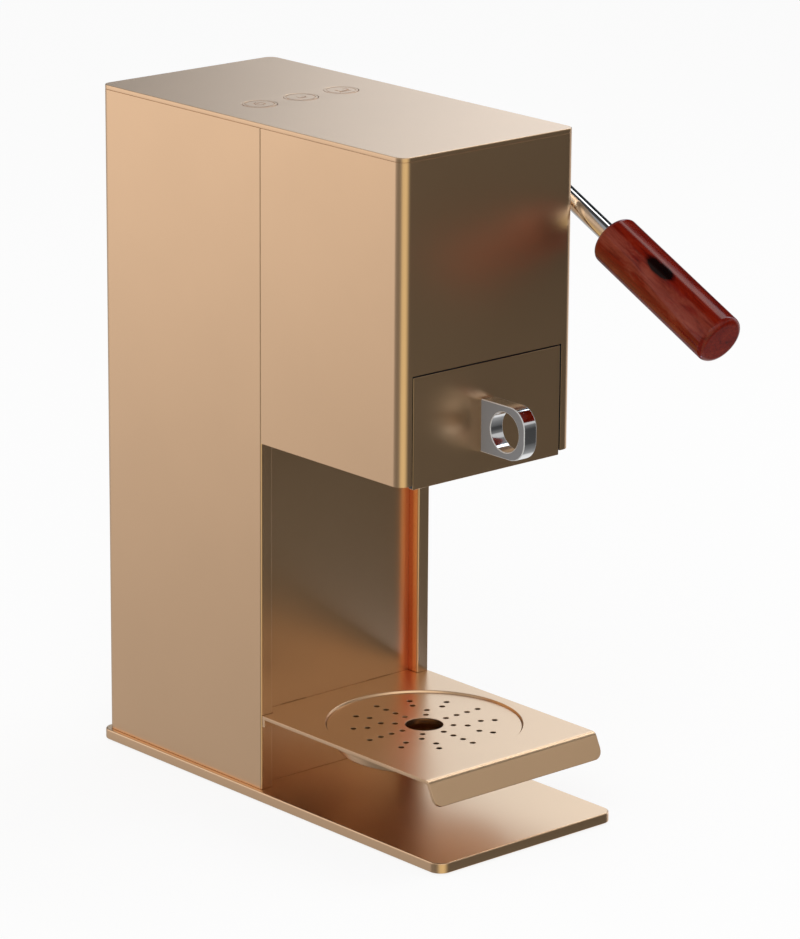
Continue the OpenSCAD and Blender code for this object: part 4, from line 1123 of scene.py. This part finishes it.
def plain_world():
    """White to the camera, gloss and glass, a little darker as soft light."""
    world = bpy.data.worlds.new("studio")
    SCENE.world = world
    world.use_nodes = True
    tree = world.node_tree
    tree.nodes.clear()
    path = tree.nodes.new("ShaderNodeLightPath")
    seen = tree.nodes.new("ShaderNodeBackground")
    seen.inputs["Color"].default_value = (1.0, 1.0, 1.0, 1.0)
    seen.inputs["Strength"].default_value = 1.0
    soft = tree.nodes.new("ShaderNodeBackground")
    soft.inputs["Color"].default_value = (1.0, 1.0, 1.0, 1.0)
    soft.inputs["Strength"].default_value = 0.75
    straight = path.outputs["Is Camera Ray"]
    for ray in ("Is Glossy Ray", "Is Transmission Ray"):
        either = tree.nodes.new("ShaderNodeMath")
        either.operation = "MAXIMUM"
        tree.links.new(straight, either.inputs[0])
        tree.links.new(path.outputs[ray], either.inputs[1])
        straight = either.outputs[0]
    mix = tree.nodes.new("ShaderNodeMixShader")
    tree.links.new(straight, mix.inputs["Fac"])
    tree.links.new(soft.outputs[0], mix.inputs[1])
    tree.links.new(seen.outputs[0], mix.inputs[2])
    out = tree.nodes.new("ShaderNodeOutputWorld")
    tree.links.new(mix.outputs[0], out.inputs["Surface"])


def flat_face(name, loop, z):
    """A level face in millimetres with a material of its own."""
    bm = bmesh.new()
    bm.faces.new([bm.verts.new((x * MM, y * MM, z * MM)) for x, y in loop])
    mesh = bpy.data.meshes.new(name)
    bm.to_mesh(mesh)
    bm.free()
    ob = bpy.data.objects.new(name, mesh)
    SCENE.collection.objects.link(ob)
    mat = bpy.data.materials.new(name)
    mat.use_nodes = True
    mesh.materials.append(mat)
    return ob, mat


def pale_floor():
    """A wide floor, nearly white to the camera, that takes soft shadows."""
    ob, mat = flat_face("floor", circle(0, 0, 30000.0, 96), -0.2)
    tree = mat.node_tree
    tree.nodes.clear()
    path = tree.nodes.new("ShaderNodeLightPath")
    paint = tree.nodes.new("ShaderNodeBsdfDiffuse")
    paint.inputs["Color"].default_value = (0.92, 0.92, 0.92, 1.0)
    white = tree.nodes.new("ShaderNodeEmission")
    white.inputs["Strength"].default_value = 1.0
    part = tree.nodes.new("ShaderNodeMixShader")
    part.inputs["Fac"].default_value = 0.85
    tree.links.new(paint.outputs[0], part.inputs[1])
    tree.links.new(white.outputs[0], part.inputs[2])
    mix = tree.nodes.new("ShaderNodeMixShader")
    tree.links.new(path.outputs["Is Camera Ray"], mix.inputs["Fac"])
    tree.links.new(paint.outputs[0], mix.inputs[1])
    tree.links.new(part.outputs[0], mix.inputs[2])
    out = tree.nodes.new("ShaderNodeOutputMaterial")
    tree.links.new(mix.outputs[0], out.inputs["Surface"])
    ob.visible_glossy = False


# Brightness round the horizon: azimuth in degrees, just below it and just above it
AROUND = (
    (0, 0.80, 1.00), (30, 0.90, 1.15), (44, 0.85, 1.22), (47, 0.70, 0.97), (52, 0.50, 0.24),
    (60, 0.45, 0.14), (100, 0.50, 0.45), (120, 1.22, 1.10), (132, 1.42, 1.20), (140, 0.95, 0.95),
    (147, 0.62, 0.80), (160, 0.32, 0.60), (185, 0.18, 0.45), (207, 0.28, 0.50), (218, 0.65, 0.65),
    (229, 0.95, 0.80), (240, 0.80, 0.95), (251, 0.95, 1.00), (262, 0.90, 1.00), (273, 0.68, 0.85),
    (285, 0.36, 0.70), (298, 0.12, 0.28), (311, 0.055, 0.16), (335, 0.055, 0.16), (350, 0.45, 0.85),
    (360, 0.80, 1.00),
)

# Floor before the right front: elevation and brightness
FRONT_FLOOR = ((-90.0, 0.72), (-66.0, 0.61), (-56.0, 0.42), (-36.0, 0.19), (-16.0, 0.09), (90.0, 0.09))

# How the rear left darkens towards the floor: elevation and share
REAR_FALL = ((-90.0, 0.36), (-19.5, 0.37), (-16.0, 0.51), (-14.0, 0.64), (-11.5, 1.0), (90.0, 1.0))

# Boxes and dark patches, each over those before it: brightness, azimuths, elevations and soft edge
PATCHES = (
    # Front right: a band above the horizon and a dark sky over it
    (0.58, 288, 352, 9, 34, 5),
    (0.20, 290, 354, 30, 80, 6),
    # Rear right: a bright box
    (2.7, -8, 42, 28, 72, 5),
    # Right: a dark strip between the boxes, which the rod throws back
    (0.02, 12, 36, -14, 38, 4),
    (0.02, 13, 27, 30, 60, 3),
    # Behind the camera: a box that the far wall of the recess throws back
    (1.3, 205, 275, 12, 40, 6),
)


def between(x, a, b):
    """How far x is from a to b, eased."""
    t = min(1.0, max(0.0, (x - a) / (b - a)))
    return t * t * (3 - 2 * t)


def along(table, x, k=1):
    """A column of a table at x, in straight lines between its rows."""
    for one, two in zip(table, table[1:]):
        if one[0] <= x <= two[0]:
            return one[k] + (two[k] - one[k]) * (x - one[0]) / (two[0] - one[0])
    return table[-1][k]


def patch(az, el, az0, az1, el0, el1, soft):
    """1 inside a patch of the sky, 0 outside, with a soft edge. az0 may be below zero."""
    if az > 180 and az0 < 0:
        az -= 360
    across = between(az, az0, az0 + soft) * (1 - between(az, az1 - soft, az1))
    return across * between(el, el0, el0 + soft) * (1 - between(el, el1 - soft, el1))


def surroundings(az, el):
    """Colour of the studio in a direction."""
    low = along(AROUND, az, 1)
    # The bright side reaches further round when seen from lower down
    shift = 4.0 * between(el, 15.5, 19) if 36 < az < 90 else 0.0
    high = along(AROUND, az - shift, 2)
    rear_left = between(az, 95, 120) * (1 - between(az, 145, 175))
    low *= 1 - rear_left * (1 - along(REAR_FALL, el))
    level = low + (high - low) * between(el, -8, 9)
    # Dim above, darker overhead
    level += (0.32 - level) * between(el, 36, 50)
    level += (0.05 - level) * between(el, 68, 78)
    front_right = between(az, 285, 300) * (1 - between(az, 340, 350))
    level += (along(FRONT_FLOOR, el) - level) * front_right * (1 - between(el, -22, -14))
    for glow, *edges in PATCHES:
        level += (glow - level) * patch(az, el, *edges)
    # Cool over the right horizon, warm below the near one
    cool = 1 - between(az, 60, 90) + between(az, 340, 350)
    cool = cool * between(el, 0, 8) * (1 - between(el, 40, 60))
    warm = between(az, 195, 225) * (1 - between(az, 280, 300)) * (1 - between(el, -6, 8))
    red = level * (1 - 0.03 * cool)
    green = level * (1 + 0.12 * cool - 0.05 * warm)
    blue = level * (1 + 0.30 * cool - 0.34 * warm + 0.05 * rear_left)
    return red, green, blue


def studio_dome():
    """Soft boxes and dark patches as one dome, in metres. Only gloss and glass see it."""
    radius = 6.0
    middle = 0.2
    step = 2
    turns = 360 // step
    mesh = bpy.data.meshes.new("studio_dome")
    points = []
    faces = []
    colours = []
    for el in range(-90, 91, step):
        height = radius * math.sin(math.radians(el)) + middle
        reach = radius * math.cos(math.radians(el))
        for az in range(0, 360, step):
            a = math.radians(az)
            points.append((reach * math.cos(a), reach * math.sin(a), height))
            colours += [*surroundings(az, el), 1.0]
    for j in range(180 // step):
        for i in range(turns):
            m = (i + 1) % turns
            faces.append((j * turns + i, (j + 1) * turns + i, (j + 1) * turns + m, j * turns + m))
    mesh.from_pydata(points, [], faces)
    glow = mesh.color_attributes.new("glow", "FLOAT_COLOR", "POINT")
    glow.data.foreach_set("color", colours)
    ob = bpy.data.objects.new("studio_dome", mesh)
    SCENE.collection.objects.link(ob)
    mat = bpy.data.materials.new("studio_dome")
    mat.use_nodes = True
    tree = mat.node_tree
    tree.nodes.clear()
    colour = tree.nodes.new("ShaderNodeAttribute")
    colour.attribute_name = "glow"
    light = tree.nodes.new("ShaderNodeEmission")
    tree.links.new(colour.outputs["Color"], light.inputs["Color"])
    out = tree.nodes.new("ShaderNodeOutputMaterial")
    tree.links.new(light.outputs[0], out.inputs["Surface"])
    mat.cycles.emission_sampling = "NONE"
    mesh.materials.append(mat)
    ob.visible_camera = False
    ob.visible_diffuse = False
    ob.visible_shadow = False
    ob.visible_volume_scatter = False


def near_floor():
    """Pale floor at the right of the front, which shows under the tray. Only gloss sees it."""
    corners = ((76.0, -146.0), (118.0, -146.0), (118.0, -72.0), (76.0, -72.0))
    ob, mat = flat_face("near_floor", corners, 0.0)
    shader = mat.node_tree.nodes["Principled BSDF"]
    shader.inputs["Base Color"].default_value = (0.0, 0.0, 0.0, 1.0)
    shader.inputs["Specular IOR Level"].default_value = 0.0
    shader.inputs["Emission Color"].default_value = (2.2, 2.45, 3.2, 1.0)
    shader.inputs["Emission Strength"].default_value = 1.0
    mat.cycles.emission_sampling = "NONE"
    ob.visible_camera = False
    ob.visible_diffuse = False
    ob.visible_shadow = False
    ob.visible_transmission = False
    ob.visible_volume_scatter = False


def lamp(name, place, target, size, power):
    """A round soft lamp that gloss and the camera don't see."""
    light = bpy.data.lights.new(name, "AREA")
    light.shape = "DISK"
    light.size = size
    light.energy = power
    ob = bpy.data.objects.new(name, light)
    SCENE.collection.objects.link(ob)
    ob.location = place
    ob.rotation_euler = (Vector(target) - Vector(place)).to_track_quat("-Z", "Y").to_euler()
    ob.visible_glossy = False
    ob.visible_camera = False


plain_world()
pale_floor()
studio_dome()
near_floor()
lamp("lamp_left", (-1.0, -0.9, 1.5), (0.0, 0.0, 0.15), 1.2, 9.0)
lamp("lamp_right", (1.3, -0.2, 1.2), (0.0, 0.0, 0.15), 1.0, 5.0)


# Camera

camera = bpy.data.cameras.new("camera")
camera.sensor_width = 36.0
camera.lens = 179.26
camera.clip_start = 0.05
camera.clip_end = 100.0
eye = bpy.data.objects.new("camera", camera)
SCENE.collection.objects.link(eye)
eye.matrix_world = Matrix((
    (0.74963482, 0.18010274, -0.63687568, -1.44754),
    (-0.66181424, 0.21421205, -0.71841151, -1.66794),
    (0.00703857, 0.96003969, 0.27977537, 0.80518),
    (0.0, 0.0, 0.0, 1.0),
))
SCENE.camera = eye
SCENE.view_settings.view_transform = "Standard"
